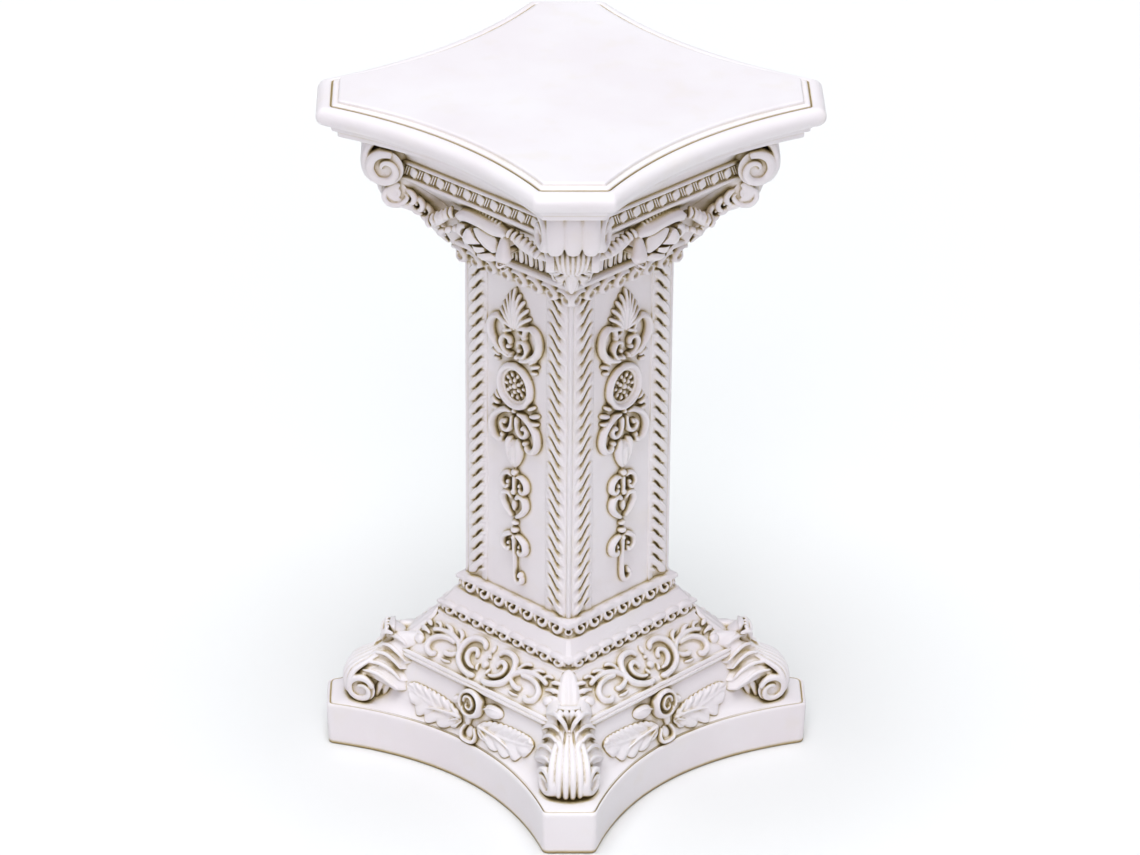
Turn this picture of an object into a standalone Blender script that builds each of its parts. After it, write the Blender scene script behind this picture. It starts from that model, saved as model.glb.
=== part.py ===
"""Carved pedestal column, cast in one piece: a concave-sided slab on a square carved shaft.

Metres, +Z up, the origin under the middle of the plinth. The faces look along -Y, +X, +Y and -X.
On a face, u runs to the right as seen from outside. At a corner, r runs out along the diagonal.
"""

import math

import bmesh
import bpy
from mathutils import Matrix, Vector

# Plinth: concave sides and clipped corners
PLINTH_WIDTH = 0.322
PLINTH_DIP = 0.037
PLINTH_CLIP = 0.044
PLINTH_HEIGHT = 0.034
PLINTH_CAP_HEIGHT = 0.0055
PLINTH_BORDER = 0.006
PLINTH_BATTER = 0.0015

# Base: lower panel, ledge, scroll panel, two carved bands and the slope between them
LOWER_PANEL_HEIGHT = 0.0445
LEDGE_WIDTH = 0.226
LEDGE_HEIGHT = 0.0075
LEDGE_PROUD = 0.0045
SCROLL_PANEL_HEIGHT = 0.029
LOWER_BAND_WIDTH = 0.158
LOWER_BAND_HEIGHT = 0.0095
BAND_SPREAD = 0.005
SLOPE_HEIGHT = 0.0112
UPPER_BAND_WIDTH = 0.137
UPPER_BAND_HEIGHT = 0.0155
FILLET = 0.002

# Shaft
SHAFT_WIDTH = 0.122
SHAFT_HEIGHT = 0.2928
ARRIS_WIDTH = 0.0036
BORDER_WIDTH = 0.0225
BORDER_PROUD = 0.0022

# Capital: neck band, bell, frieze and the hollow under the slab
NECK_WIDTH = 0.140
NECK_HEIGHT = 0.0195
BELL_HEIGHT = 0.0605
FRIEZE_WIDTH = 0.222
FRIEZE_HEIGHT = 0.016
HOLLOW_HEIGHT = 0.0223

# Slab
SLAB_WIDTH = 0.337
SLAB_DIP = 0.0188
SLAB_CLIP = 0.048
SLAB_FILLET_HEIGHT = 0.012
ROLL_RADIUS = 0.0082
ROLL_REACH = 0.0192
TOP_STEP_HEIGHT = 0.0038
TOP_STEP_RUN = 0.006

# Corner consoles of the capital and acanthus feet of the base
CONSOLE_WIDTH = 0.044
CONSOLE_REACH = 0.170
VOLUTE_RADIUS = 0.0165
VOLUTE_PROUD = 0.003
CONSOLE_FOLD = 0.004
FOOT_WIDTH = 0.045
FOOT_REACH = 0.190
FOOT_VOLUTE_RADIUS = 0.012
FOOT_VOLUTE_PROUD = 0.003
FOOT_FOLD = 0.004

# Ornament
RELIEF = 0.0065
SCROLL_WIDTH = 0.0052
PANEL_RELIEF = 0.0045
LEAF_RELIEF = 0.004
ROSE_WIDTH = 0.050
NECK_CURLS = 8
UPPER_BAND_CURLS = 8
LOWER_BAND_CURLS = 9
BAND_RELIEF = 0.0028
SINK = 0.003
SIDE_STEPS = 5

# Heights of the courses, from the floor up
Z_PLINTH_TOP = PLINTH_HEIGHT + PLINTH_CAP_HEIGHT
Z_LEDGE = Z_PLINTH_TOP + LOWER_PANEL_HEIGHT
Z_SCROLL_PANEL = Z_LEDGE + LEDGE_HEIGHT
Z_LOWER_BAND = Z_SCROLL_PANEL + SCROLL_PANEL_HEIGHT
Z_SLOPE = Z_LOWER_BAND + LOWER_BAND_HEIGHT
Z_UPPER_BAND = Z_SLOPE + SLOPE_HEIGHT
Z_SHAFT = Z_UPPER_BAND + UPPER_BAND_HEIGHT
Z_NECK = Z_SHAFT + SHAFT_HEIGHT
Z_BELL = Z_NECK + NECK_HEIGHT
Z_FRIEZE = Z_BELL + BELL_HEIGHT
Z_HOLLOW = Z_FRIEZE + FRIEZE_HEIGHT
Z_SLAB = Z_HOLLOW + HOLLOW_HEIGHT
Z_ROLL = Z_SLAB + SLAB_FILLET_HEIGHT + ROLL_RADIUS
Z_TOP = Z_ROLL + ROLL_RADIUS + TOP_STEP_HEIGHT

# Half widths that several courses share
PLINTH_HALF = PLINTH_WIDTH / 2
LEDGE_HALF = LEDGE_WIDTH / 2 - LEDGE_PROUD
LOWER_BAND_TOP = LOWER_BAND_WIDTH / 2 - BAND_SPREAD / 2
UPPER_BAND_FOOT = UPPER_BAND_WIDTH / 2
SHAFT_HALF = SHAFT_WIDTH / 2
NECK_HALF = NECK_WIDTH / 2
FRIEZE_HALF = FRIEZE_WIDTH / 2
SLAB_HALF = SLAB_WIDTH / 2 - ROLL_REACH
DIAGONAL = math.sqrt(2)


def ring(half, z, clip=ARRIS_WIDTH, dip=0.0, steps=1):
    """Plan outline at height z: sides that dip by dip in the middle, corners clipped by clip."""
    end = half - clip / DIAGONAL
    side = []
    for step in range(steps + 1):
        share = 2 * step / steps - 1
        side.append(Vector((end * share, -half + dip * (1 - share * share), z)))
    turns = [Matrix.Rotation(quarter * math.pi / 2, 4, "Z") for quarter in range(4)]
    return [turn @ point for turn in turns for point in side]


def grown(half, z, clip, dip, out):
    """The same outline moved outward by out all round."""
    return ring(half + out, z, clip + 2 * out * math.tan(math.pi / 8), dip, SIDE_STEPS)


def skin(bm, rings):
    """Close a stack of outlines, each with as many points, into one solid."""
    rows = [[bm.verts.new(point) for point in outline] for outline in rings]
    faces = []
    for low, high in zip(rows, rows[1:]):
        for index in range(len(low)):
            after = (index + 1) % len(low)
            faces.append(bm.faces.new((low[index], low[after], high[after], high[index])))
    faces.append(bm.faces.new(list(reversed(rows[0]))))
    faces.append(bm.faces.new(rows[-1]))
    bmesh.ops.recalc_face_normals(bm, faces=faces)


def body_of_base(bm):
    """Plinth and lower panel, up into the ledge."""
    clip, dip = PLINTH_CLIP, PLINTH_DIP
    inner_dip = dip - PLINTH_BORDER / 3
    rows = [
        grown(PLINTH_HALF, 0.0, clip, dip, -PLINTH_BATTER),
        grown(PLINTH_HALF, PLINTH_HEIGHT, clip, dip, 0.0),
        grown(PLINTH_HALF, PLINTH_HEIGHT + 0.2 * PLINTH_CAP_HEIGHT, clip, dip, -0.0012),
        grown(PLINTH_HALF, PLINTH_HEIGHT + 0.4 * PLINTH_CAP_HEIGHT, clip, dip, -0.0004),
        grown(PLINTH_HALF, PLINTH_HEIGHT + 0.8 * PLINTH_CAP_HEIGHT, clip, dip, -0.0012),
        grown(PLINTH_HALF, Z_PLINTH_TOP, clip, dip, -0.5 * PLINTH_BORDER),
    ]
    for share in (0.0, 0.3, 0.65, 1.0):
        rows.append(lower_panel_ring(share, inner_dip))
    top = Z_LEDGE + 0.4 * LEDGE_HEIGHT
    rows.append(ring(0.94 * LEDGE_HALF, top, 0.03 * LEDGE_HALF, 0.0, SIDE_STEPS))
    skin(bm, rows)


def lower_panel_ring(share, inner_dip):
    """Outline of the lower panel, from the plinth's border (share 0) to the ledge (share 1)."""
    foot_half = PLINTH_HALF - PLINTH_BORDER
    half = foot_half + (LEDGE_HALF - foot_half) * share
    clip = 0.9 * PLINTH_CLIP * (1 - share) + 2 * ARRIS_WIDTH * share
    z = Z_PLINTH_TOP + LOWER_PANEL_HEIGHT * share
    return ring(half, z, clip, inner_dip * (1 - share), SIDE_STEPS)


def lower_panel_depth(u, z):
    """Distance of the lower panel's face from the axis plane."""
    share = (z - Z_PLINTH_TOP) / LOWER_PANEL_HEIGHT
    foot_half = PLINTH_HALF - PLINTH_BORDER
    half = foot_half + (LEDGE_HALF - foot_half) * share
    clip = 0.9 * PLINTH_CLIP * (1 - share) + 2 * ARRIS_WIDTH * share
    dip = (PLINTH_DIP - PLINTH_BORDER / 3) * (1 - share)
    end = half - clip / DIAGONAL
    return half - dip * (1 - min(1.0, (u / end) ** 2))


def body_of_middle(bm):
    """Ledge, scroll panel, bands, shaft, neck, bell and frieze: all square on plan."""
    proud = LEDGE_PROUD
    rows = [
        ring(0.92 * LEDGE_HALF, Z_LEDGE - 0.3 * LEDGE_HEIGHT),
        ring(LEDGE_HALF + 0.5 * proud, Z_LEDGE),
        ring(LEDGE_HALF + proud, Z_LEDGE + 0.3 * LEDGE_HEIGHT),
        ring(LEDGE_HALF + 0.8 * proud, Z_LEDGE + 0.75 * LEDGE_HEIGHT),
        ring(LEDGE_HALF, Z_SCROLL_PANEL),
        ring(LOWER_BAND_WIDTH / 2, Z_LOWER_BAND - 0.04 * SCROLL_PANEL_HEIGHT),
        ring(LOWER_BAND_WIDTH / 2, Z_LOWER_BAND),
        ring(LOWER_BAND_TOP, Z_SLOPE),
        ring(UPPER_BAND_FOOT, Z_UPPER_BAND - 0.05 * SLOPE_HEIGHT),
        ring(UPPER_BAND_FOOT, Z_UPPER_BAND),
        ring(UPPER_BAND_FOOT - BAND_SPREAD, Z_SHAFT - FILLET),
        ring(SHAFT_HALF + 0.5 * FILLET, Z_SHAFT),
        ring(SHAFT_HALF, Z_SHAFT + 0.2 * FILLET),
        ring(SHAFT_HALF, Z_NECK),
        ring(NECK_HALF - 1.8 * FILLET, Z_NECK + 0.5 * FILLET),
        ring(NECK_HALF - FILLET, Z_NECK + 0.45 * NECK_HEIGHT),
        ring(NECK_HALF - 0.5 * FILLET, Z_NECK + 0.8 * NECK_HEIGHT),
        ring(NECK_HALF + 0.5 * FILLET, Z_NECK + 0.85 * NECK_HEIGHT),
    ]
    for step in range(6):
        share = step / 5
        flare = 0.35 * share + 0.65 * share ** 2.2
        low = NECK_HALF - FILLET
        rows.append(ring(low + (FRIEZE_HALF - FILLET - low) * flare, Z_BELL + BELL_HEIGHT * share))
    rows += [
        ring(FRIEZE_HALF + 0.5 * FILLET, Z_FRIEZE + 0.5 * FILLET),
        ring(FRIEZE_HALF + 0.5 * FILLET, Z_FRIEZE + 1.5 * FILLET),
        ring(FRIEZE_HALF - FILLET, Z_FRIEZE + 2 * FILLET),
        ring(FRIEZE_HALF - FILLET, Z_HOLLOW - 1.5 * FILLET),
        ring(FRIEZE_HALF + 0.5 * FILLET, Z_HOLLOW - FILLET),
        ring(FRIEZE_HALF + 0.5 * FILLET, Z_HOLLOW),
        ring(FRIEZE_HALF - FILLET, Z_HOLLOW + FILLET),
    ]
    skin(bm, rows)


def body_of_slab(bm):
    """The slab, with its roll, its fillets and the hollow under it."""
    def row(out, z):
        return grown(SLAB_HALF, z, SLAB_CLIP, SLAB_DIP, out)

    fillet = SLAB_FILLET_HEIGHT / 2
    middle = ROLL_REACH - ROLL_RADIUS
    rows = [
        grown(FRIEZE_HALF, Z_HOLLOW - 2 * FILLET, ARRIS_WIDTH, 0.0, -3 * FILLET),
        grown(FRIEZE_HALF, Z_HOLLOW + 0.1 * HOLLOW_HEIGHT, 2 * ARRIS_WIDTH, 0.0, 0.2 * FILLET),
        grown(FRIEZE_HALF, Z_HOLLOW + 0.55 * HOLLOW_HEIGHT, 3 * ARRIS_WIDTH, 0.1 * SLAB_DIP, 0.002),
        row(-4 * FILLET, Z_SLAB),
        row(0.8 * FILLET, Z_SLAB),
        row(0.8 * FILLET, Z_SLAB + fillet),
        row(middle - 2.5 * FILLET, Z_SLAB + fillet),
        row(middle - 2 * FILLET, Z_SLAB + 2 * fillet),
    ]
    for step in range(7):
        angle = -math.pi / 2 + math.pi * step / 6
        out = middle + ROLL_RADIUS * math.cos(angle)
        rows.append(row(out, Z_ROLL + ROLL_RADIUS * math.sin(angle)))
    rows += [
        row(TOP_STEP_RUN + 0.4 * FILLET, Z_ROLL + 0.8 * ROLL_RADIUS),
        row(TOP_STEP_RUN, Z_ROLL + ROLL_RADIUS),
        row(0.2 * TOP_STEP_RUN, Z_TOP - 0.7 * TOP_STEP_HEIGHT),
        row(0.0, Z_TOP),
    ]
    skin(bm, rows)


def upright(depth):
    """A flat upright face: (u, v, h) to a point h in front of it."""
    return lambda u, v, h: Vector((u, -depth - h, v))


def sloping(half_low, z_low, half_high, z_high):
    """A sloping face: v is the distance down from its upper edge."""
    run, drop = half_low - half_high, z_high - z_low
    length = math.hypot(run, drop)
    down = Vector((0, -run, -drop)) / length
    out = Vector((0, -drop, run)) / length
    top = Vector((0, -half_high, z_high))
    return lambda u, v, h: top + Vector((u, 0, 0)) + down * v + out * h


def lower_panel(u, v, h):
    """The flaring lower panel: v is the height above the floor."""
    return Vector((u, -lower_panel_depth(u, v) - h, v))


def on_faces(bm, place, shape, mirrored=False):
    """Build shape(bm, face) on the four faces, every second one mirrored if asked."""
    for quarter in range(4):
        turn = Matrix.Rotation(quarter * math.pi / 2, 4, "Z")
        hand = -1 if mirrored and quarter % 2 else 1

        def face(u, v, h, turn=turn, hand=hand):
            return turn @ place(hand * u, v, h)

        shape(bm, face)


def both_sides(path):
    """A path and its mirror image about the middle of the face."""
    return [path, [(-u, v) for u, v in path]]


def ridge(bm, face, path, width, height):
    """A scroll: a ridged band along path, slimmer towards its ends."""
    rows = []
    for index, (u, v) in enumerate(path):
        before = path[max(index - 1, 0)]
        after = path[min(index + 1, len(path) - 1)]
        du, dv = after[0] - before[0], after[1] - before[1]
        length = math.hypot(du, dv) or 1.0
        share = index / (len(path) - 1)
        wide = width * (0.7 + 0.3 * math.sin(math.pi * share)) / 2
        side_u, side_v = -dv / length * wide, du / length * wide
        rows.append([
            face(u + side_u, v + side_v, -SINK),
            face(u - side_u, v - side_v, -SINK),
            face(u, v, height),
        ])
    skin(bm, rows)


def dome(bm, face, outline, height, crown=0.55, lift=0.75):
    """A leaf, petal or bead: a rounded boss over a closed outline."""
    middle_u = sum(u for u, _ in outline) / len(outline)
    middle_v = sum(v for _, v in outline) / len(outline)

    def inset(share, h):
        return [
            face(middle_u + (u - middle_u) * share, middle_v + (v - middle_v) * share, h)
            for u, v in outline
        ]

    skin(bm, [inset(1.0, -SINK), inset(crown, lift * height), inset(0.06, height)])


def stud(bm, face, outline, height):
    """A bead or a small leaf: a pointed boss over a closed outline."""
    middle_u = sum(u for u, _ in outline) / len(outline)
    middle_v = sum(v for _, v in outline) / len(outline)
    base = [bm.verts.new(face(u, v, -SINK)) for u, v in outline]
    peak = bm.verts.new(face(middle_u, middle_v, height))
    faces = [bm.faces.new(base)]
    for index, vert in enumerate(base):
        faces.append(bm.faces.new((vert, base[(index + 1) % len(base)], peak)))
    bmesh.ops.recalc_face_normals(bm, faces=faces)


def oval(middle_u, middle_v, radius_u, radius_v, count=6, lean=0.0):
    """Points of an oval, leaning by the angle lean."""
    points = []
    for index in range(count):
        angle = 2 * math.pi * (index + 0.5) / count
        u, v = radius_u * math.cos(angle), radius_v * math.sin(angle)
        points.append((
            middle_u + u * math.cos(lean) - v * math.sin(lean),
            middle_v + u * math.sin(lean) + v * math.cos(lean),
        ))
    return points


def curl(middle_u, middle_v, radius, start, sweep, steps=5, shrink=0.45):
    """A spiral path, winding in from radius to shrink times radius."""
    points = []
    for step in range(steps + 1):
        share = step / steps
        angle = start + sweep * share
        size = radius * (1 + (shrink - 1) * share)
        points.append((middle_u + size * math.cos(angle), middle_v + size * math.sin(angle)))
    return points


def shaft_borders(bm):
    """The raised laurel borders that frame each shaft panel."""
    high = Z_NECK + 0.3 * NECK_HEIGHT
    low = Z_SHAFT - FILLET
    outer = SHAFT_HALF - ARRIS_WIDTH
    inner = outer - BORDER_WIDTH

    def strips(bm, face):
        for side in (-1, 1):
            rows = []
            for z in (low, high):
                rows.append([
                    face(side * inner, z, -SINK),
                    face(side * inner, z, 0.6 * BORDER_PROUD),
                    face(side * (inner + 0.25 * BORDER_WIDTH), z, BORDER_PROUD),
                    face(side * (outer - 0.25 * BORDER_WIDTH), z, BORDER_PROUD),
                    face(side * outer, z, 0.2 * BORDER_PROUD),
                    face(side * outer, z, -SINK),
                ])
            skin(bm, rows)

    on_faces(bm, upright(SHAFT_HALF), strips)


def shaft_relief(bm):
    """The tall ornament of the shaft: leaf, scrolls, oval frame, bell, heart and hook."""
    scale_v = SHAFT_HEIGHT
    scale_u = SHAFT_WIDTH

    def spot(u, v):
        return u * scale_u, Z_SHAFT + v * scale_v

    def path(*points):
        return [spot(u, v) for u, v in points]

    def shape(bm, face):
        leaf = [(0, 0.985), (0.1, 0.94), (0.155, 0.88), (0.07, 0.845)]
        outline = path(*leaf, *[(-u, v) for u, v in reversed(leaf[1:])])
        dome(bm, face, outline, 1.3 * RELIEF, 0.6)
        for paths in (
            path((0.11, 0.856), (0.17, 0.878), (0.235, 0.83), (0.20, 0.785), (0.10, 0.754),
                 (0.03, 0.75)),
            path((0.03, 0.82), (0.09, 0.82), (0.1, 0.79), (0.05, 0.78)),
            path((0.03, 0.588), (0.13, 0.577), (0.215, 0.54), (0.205, 0.5), (0.14, 0.486)),
            path((0.03, 0.39), (0.1, 0.375), (0.04, 0.345)),
            path((0.03, 0.3), (0.08, 0.32), (0.1, 0.29), (0.02, 0.252)),
            path((0.025, 0.185), (0.1, 0.172), (0.035, 0.145)),
        ):
            for each in both_sides(paths):
                ridge(bm, face, each, SCROLL_WIDTH, RELIEF)
        frame = oval(0, Z_SHAFT + 0.672 * scale_v, 0.15 * scale_u, 0.07 * scale_v, 8)
        ridge(bm, face, frame + frame[:1], SCROLL_WIDTH, 0.9 * RELIEF)
        middle_u, middle_v = spot(0, 0.672)
        size = 0.075 * scale_u
        stud(bm, face, oval(middle_u, middle_v, size, 1.2 * size), 0.7 * RELIEF)
        bell_u, bell_v = spot(0, 0.455)
        dome(bm, face, oval(bell_u, bell_v, 0.085 * scale_u, 0.046 * scale_v), RELIEF)
        for v in (0.335, 0.225):
            u, v = spot(0, v)
            stud(bm, face, oval(u, v, 0.035 * scale_u, 0.016 * scale_v, 5), 0.8 * RELIEF)
        for side in (-1, 1):
            u, v = spot(side * 0.195, 0.603)
            stud(bm, face, oval(u, v, 0.045 * scale_u, 0.024 * scale_v, 5), 0.9 * RELIEF)
        stem = path((0.0, 0.2), (0.0, 0.075), (0.03, 0.05), (0.06, 0.07))
        ridge(bm, face, stem, 0.9 * SCROLL_WIDTH, 0.8 * RELIEF)

    on_faces(bm, upright(SHAFT_HALF), shape)


def scroll_panel_relief(bm):
    """Paired scrolls, branches and curls on the sloping panel over the ledge."""
    high = LOWER_BAND_WIDTH / 2
    length = math.hypot(LEDGE_HALF - high, SCROLL_PANEL_HEIGHT)
    wide = LEDGE_WIDTH

    def path(*points):
        return [(u * wide, v * length) for u, v in points]

    def shape(bm, face):
        for paths in (
            path((0.015, 0.9), (0.08, 0.84), (0.12, 0.42), (0.075, 0.17), (0.02, 0.33)),
            path((0.03, 0.76), (0.065, 0.6), (0.035, 0.46)),
            path((0.12, 0.76), (0.165, 0.5), (0.235, 0.2)),
            path((0.21, 0.45), (0.27, 0.5), (0.27, 0.78), (0.225, 0.84)),
            path((0.31, 0.7), (0.345, 0.58), (0.375, 0.85)),
        ):
            for each in both_sides(paths):
                ridge(bm, face, each, 0.85 * SCROLL_WIDTH, PANEL_RELIEF)
        stud(bm, face, oval(0, 0.6 * length, 0.018 * wide, 0.1 * length, 5), PANEL_RELIEF)

    on_faces(bm, sloping(LEDGE_HALF, Z_SCROLL_PANEL, high, Z_LOWER_BAND), shape)


def leaf_spray(bm):
    """A rosebud between two broad leaves on the lower panel, with a small leaf beside it."""
    wide = LEDGE_WIDTH

    def path(*points):
        return [(u * wide, Z_PLINTH_TOP + v * LOWER_PANEL_HEIGHT) for u, v in points]

    def shape(bm, face):
        leaf = path((0.055, 0.2), (0.13, 0.52), (0.24, 0.66), (0.33, 0.46), (0.28, 0.14), (0.16, 0.04))
        for outline in both_sides(leaf):
            stud(bm, face, outline, 1.3 * LEAF_RELIEF)
        small = path((0.03, 0.45), (0.09, 0.9), (0.15, 0.78), (0.09, 0.5))
        stud(bm, face, small, LEAF_RELIEF)
        bud = path((0.0, 0.25), (0.05, 0.6), (0.05, 0.9), (0.0, 0.98), (-0.05, 0.85), (-0.045, 0.5))
        dome(bm, face, bud, 2 * LEAF_RELIEF, 0.6)

    on_faces(bm, lower_panel, shape, mirrored=True)


def pleated(half, z, count, height):
    """Plan outline of a carved band: count upright leaves on each side, standing height proud."""
    side = []
    for index in range(2 * count + 1):
        out = half + height * (1.0 if index % 2 else 0.2)
        side.append(Vector((half * (index / count - 1), -out, z)))
    turns = [Matrix.Rotation(quarter * math.pi / 2, 4, "Z") for quarter in range(4)]
    return [turn @ point for turn in turns for point in side[:-1]]


def carved_bands(bm):
    """The leaf bands of the base and the neck."""
    def band(low_half, low, high_half, high, count, height):
        skin(bm, [pleated(low_half, low, count, height), pleated(high_half, high, count, height)])

    edge = 0.08 * LOWER_BAND_HEIGHT
    band(LOWER_BAND_WIDTH / 2, Z_LOWER_BAND + edge, LOWER_BAND_TOP, Z_SLOPE - edge,
         LOWER_BAND_CURLS, BAND_RELIEF)
    edge = 0.08 * UPPER_BAND_HEIGHT
    band(UPPER_BAND_FOOT, Z_UPPER_BAND + edge, UPPER_BAND_FOOT - BAND_SPREAD,
         Z_SHAFT - FILLET - edge, UPPER_BAND_CURLS, BAND_RELIEF)
    edge = 0.08 * NECK_HEIGHT
    band(NECK_HALF - 1.7 * FILLET, Z_NECK + edge, NECK_HALF - 0.5 * FILLET,
         Z_NECK + 0.78 * NECK_HEIGHT, NECK_CURLS, BAND_RELIEF)


def roses(bm):
    """A rose in the middle of each side of the capital, hung on a swag of husks."""
    size = ROSE_WIDTH / 2
    middle_z = Z_BELL + 0.6 * BELL_HEIGHT
    depth = NECK_HALF + 0.42 * (FRIEZE_HALF - NECK_HALF)

    def rose(bm, face):
        dome(bm, face, oval(0, middle_z, 0.7 * size, 0.75 * size, 6), 0.75 * size, 0.62, 0.7)
        for index in range(5):
            angle = math.pi / 2 + 2 * math.pi * index / 5
            u, v = 0.6 * size * math.cos(angle), middle_z + 0.64 * size * math.sin(angle)
            petal = oval(u, v, 0.42 * size, 0.46 * size, 4, angle)
            stud(bm, face, petal, 0.62 * size)

    on_faces(bm, upright(depth - size * 0.1), rose)

    root = (FRIEZE_HALF - 0.028, FRIEZE_HALF - 0.004, Z_BELL + 0.66 * BELL_HEIGHT)
    tip = (0.1 * FRIEZE_HALF, NECK_HALF + 0.007, Z_BELL + 0.3 * BELL_HEIGHT)
    count = 2
    for quarter in range(4):
        turn = Matrix.Rotation(quarter * math.pi / 2, 4, "Z")
        for side in (-1, 1):
            for index in range(count):
                ends = []
                for share in (index / count, (index + 1.25) / count):
                    u = root[0] + (tip[0] - root[0]) * share
                    out = root[1] + (tip[1] - root[1]) * share ** 0.75
                    z = root[2] + (tip[2] - root[2]) * share ** 0.8
                    ends.append(Vector((side * u, -out, z)))
                husk(bm, turn @ ends[0], turn @ ends[1], 0.17 * size + 0.0028)


def husk(bm, start, end, radius):
    """A bud-shaped husk from start to end."""
    axis = (end - start).normalized()
    side = axis.cross(Vector((0, 0, 1))).normalized()
    up = side.cross(axis)
    rows = []
    for share, size in ((0.0, 0.35), (0.55, 1.0), (1.0, 0.15)):
        middle = start.lerp(end, share)
        corners = []
        for index in range(4):
            angle = 2 * math.pi * index / 4
            corners.append(middle + (side * math.cos(angle) + up * math.sin(angle)) * radius * size)
        rows.append(corners)
    skin(bm, rows)


def at_corners(bm, shape):
    """Build shape(bm, corner) at the four corners: (r, w, z) with w across the diagonal."""
    for quarter in range(4):
        turn = Matrix.Rotation(-math.pi / 4 + quarter * math.pi / 2, 4, "Z")

        def corner(r, w, z, turn=turn):
            return turn @ Vector((r, w, z))

        shape(bm, corner)


def corner_leaf(bm, corner, profile, root, width, folds, groove):
    """A bracket with a folded front: profile gives (z, reach, width share) from the foot up.

    folds are the depths, as shares of groove, across the front from one edge to the other.
    The hidden back climbs at half the front's rate, so that an overhanging tip doesn't cross it.
    """
    rows = []
    bottom, top = profile[0][0], profile[-1][0]
    for step, (z, reach, share) in enumerate(profile):
        half = share * width / 2
        behind = bottom + 0.5 * (top - bottom) * step / (len(profile) - 1)
        row = [corner(root, -half, behind)]
        for index, fold in enumerate(folds):
            place = 2 * index / (len(folds) - 1) - 1
            row.append(corner(reach - groove * fold, place * half, z))
        row.append(corner(root, half, behind))
        rows.append(row)
    skin(bm, rows)


def volute(bm, corner, middle_r, middle_z, radius, half, proud, wound):
    """A scroll end on both flanks of a bracket: an eye, with a raised spiral if wound."""
    for side in (-1, 1):
        def flank(u, v, h, side=side):
            return corner(u, side * (half + h), v)

        size = (0.3 if wound else 0.7) * radius
        stud(bm, flank, oval(middle_r, middle_z, size, size, 5), proud)
        if wound:
            spiral = curl(middle_r, middle_z, 0.82 * radius, math.pi / 2, -1.5 * math.pi, 4, 0.55)
            ridge(bm, flank, spiral, 0.4 * radius, proud)


def consoles(bm):
    """The scrolled consoles under the corners of the slab."""
    low_r = (NECK_HALF + FILLET) * DIAGONAL - 0.002
    low_z = Z_BELL - 0.3 * NECK_HEIGHT
    run, rise = CONSOLE_REACH - low_r, Z_SLAB - low_z
    shares = (
        (0.0, 0.0, 0.3), (0.12, 0.11, 0.36), (0.27, 0.27, 0.42), (0.41, 0.66, 0.64),
        (0.5, 0.79, 0.78), (0.59, 0.79, 0.92), (0.67, 0.95, 1.0), (0.77, 1.0, 1.0),
        (0.89, 0.93, 1.0), (0.955, 0.8, 0.98),
    )
    profile = [(low_z + z * rise, low_r + r * run, w) for z, r, w in shares]
    half = CONSOLE_WIDTH / 2
    eye = CONSOLE_REACH - VOLUTE_RADIUS - 0.002, low_z + 0.745 * rise

    def shape(bm, corner):
        corner_leaf(bm, corner, profile, low_r - 0.025, CONSOLE_WIDTH,
                    (1.6, 0.2, 0.8, 0.0, 0.8, 0.2, 1.6), CONSOLE_FOLD)
        volute(bm, corner, eye[0], eye[1], VOLUTE_RADIUS, half, VOLUTE_PROUD, True)

    at_corners(bm, shape)


def feet(bm):
    """The acanthus brackets that stand on the plinth's corners."""
    band_r = LOWER_BAND_WIDTH / 2 * DIAGONAL
    run, rise = FOOT_REACH - band_r, Z_LOWER_BAND - Z_PLINTH_TOP
    shares = (
        (-0.06, 0.9, 0.92), (0.07, 0.98, 1.02), (0.22, 0.99, 1.05), (0.37, 0.84, 0.86),
        (0.45, 0.62, 0.98), (0.6, 0.5, 0.92), (0.8, 0.54, 0.7), (0.85, 0.5, 0.4),
        (0.77, 0.3, 0.55), (0.87, 0.17, 0.5), (1.0, 0.0, 0.2),
    )
    profile = [(Z_PLINTH_TOP + z * rise, band_r + r * run, w) for z, r, w in shares]
    eye = FOOT_REACH - FOOT_VOLUTE_RADIUS - 0.003, Z_PLINTH_TOP + FOOT_VOLUTE_RADIUS
    half = 1.02 * FOOT_WIDTH / 2

    def shape(bm, corner):
        corner_leaf(bm, corner, profile, band_r - 0.03, FOOT_WIDTH,
                    (1.6, 1.0, 0.0, 1.0, 1.6), FOOT_FOLD)
        volute(bm, corner, eye[0], eye[1], FOOT_VOLUTE_RADIUS, half, FOOT_VOLUTE_PROUD, False)

    at_corners(bm, shape)


def mesh_object(name, builders):
    """A new object made by the given builders."""
    bm = bmesh.new()
    for build in builders:
        build(bm)
    mesh = bpy.data.meshes.new(name)
    bm.to_mesh(mesh)
    bm.free()
    made = bpy.data.objects.new(name, mesh)
    bpy.context.scene.collection.objects.link(made)
    return made


def resin():
    """White cast resin."""
    material = bpy.data.materials.new("resin")
    material.use_nodes = True
    shader = material.node_tree.nodes["Principled BSDF"]
    shader.inputs["Base Color"].default_value = (0.79, 0.77, 0.76, 1.0)
    shader.inputs["Roughness"].default_value = 0.55
    shader.inputs["Metallic"].default_value = 0.0
    return material


def join(target, cutter):
    """Unite cutter into target with a Boolean that stays on the object."""
    boolean = target.modifiers.new(cutter.name, "BOOLEAN")
    boolean.operation = "UNION"
    boolean.solver = "EXACT"
    boolean.use_self = True
    boolean.object = cutter
    cutter.hide_render = True
    cutter.display_type = "WIRE"


def main():
    for old in list(bpy.data.objects):
        bpy.data.objects.remove(old)
    pedestal = mesh_object("pedestal", [body_of_middle])
    pedestal.data.materials.append(resin())
    join(pedestal, mesh_object("base and slab", [body_of_base, body_of_slab]))
    join(pedestal, mesh_object("brackets", [consoles, feet, shaft_borders]))
    join(pedestal, mesh_object("bands", [carved_bands, scroll_panel_relief, leaf_spray]))
    join(pedestal, mesh_object("reliefs", [shaft_relief, roses]))


main()
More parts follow.
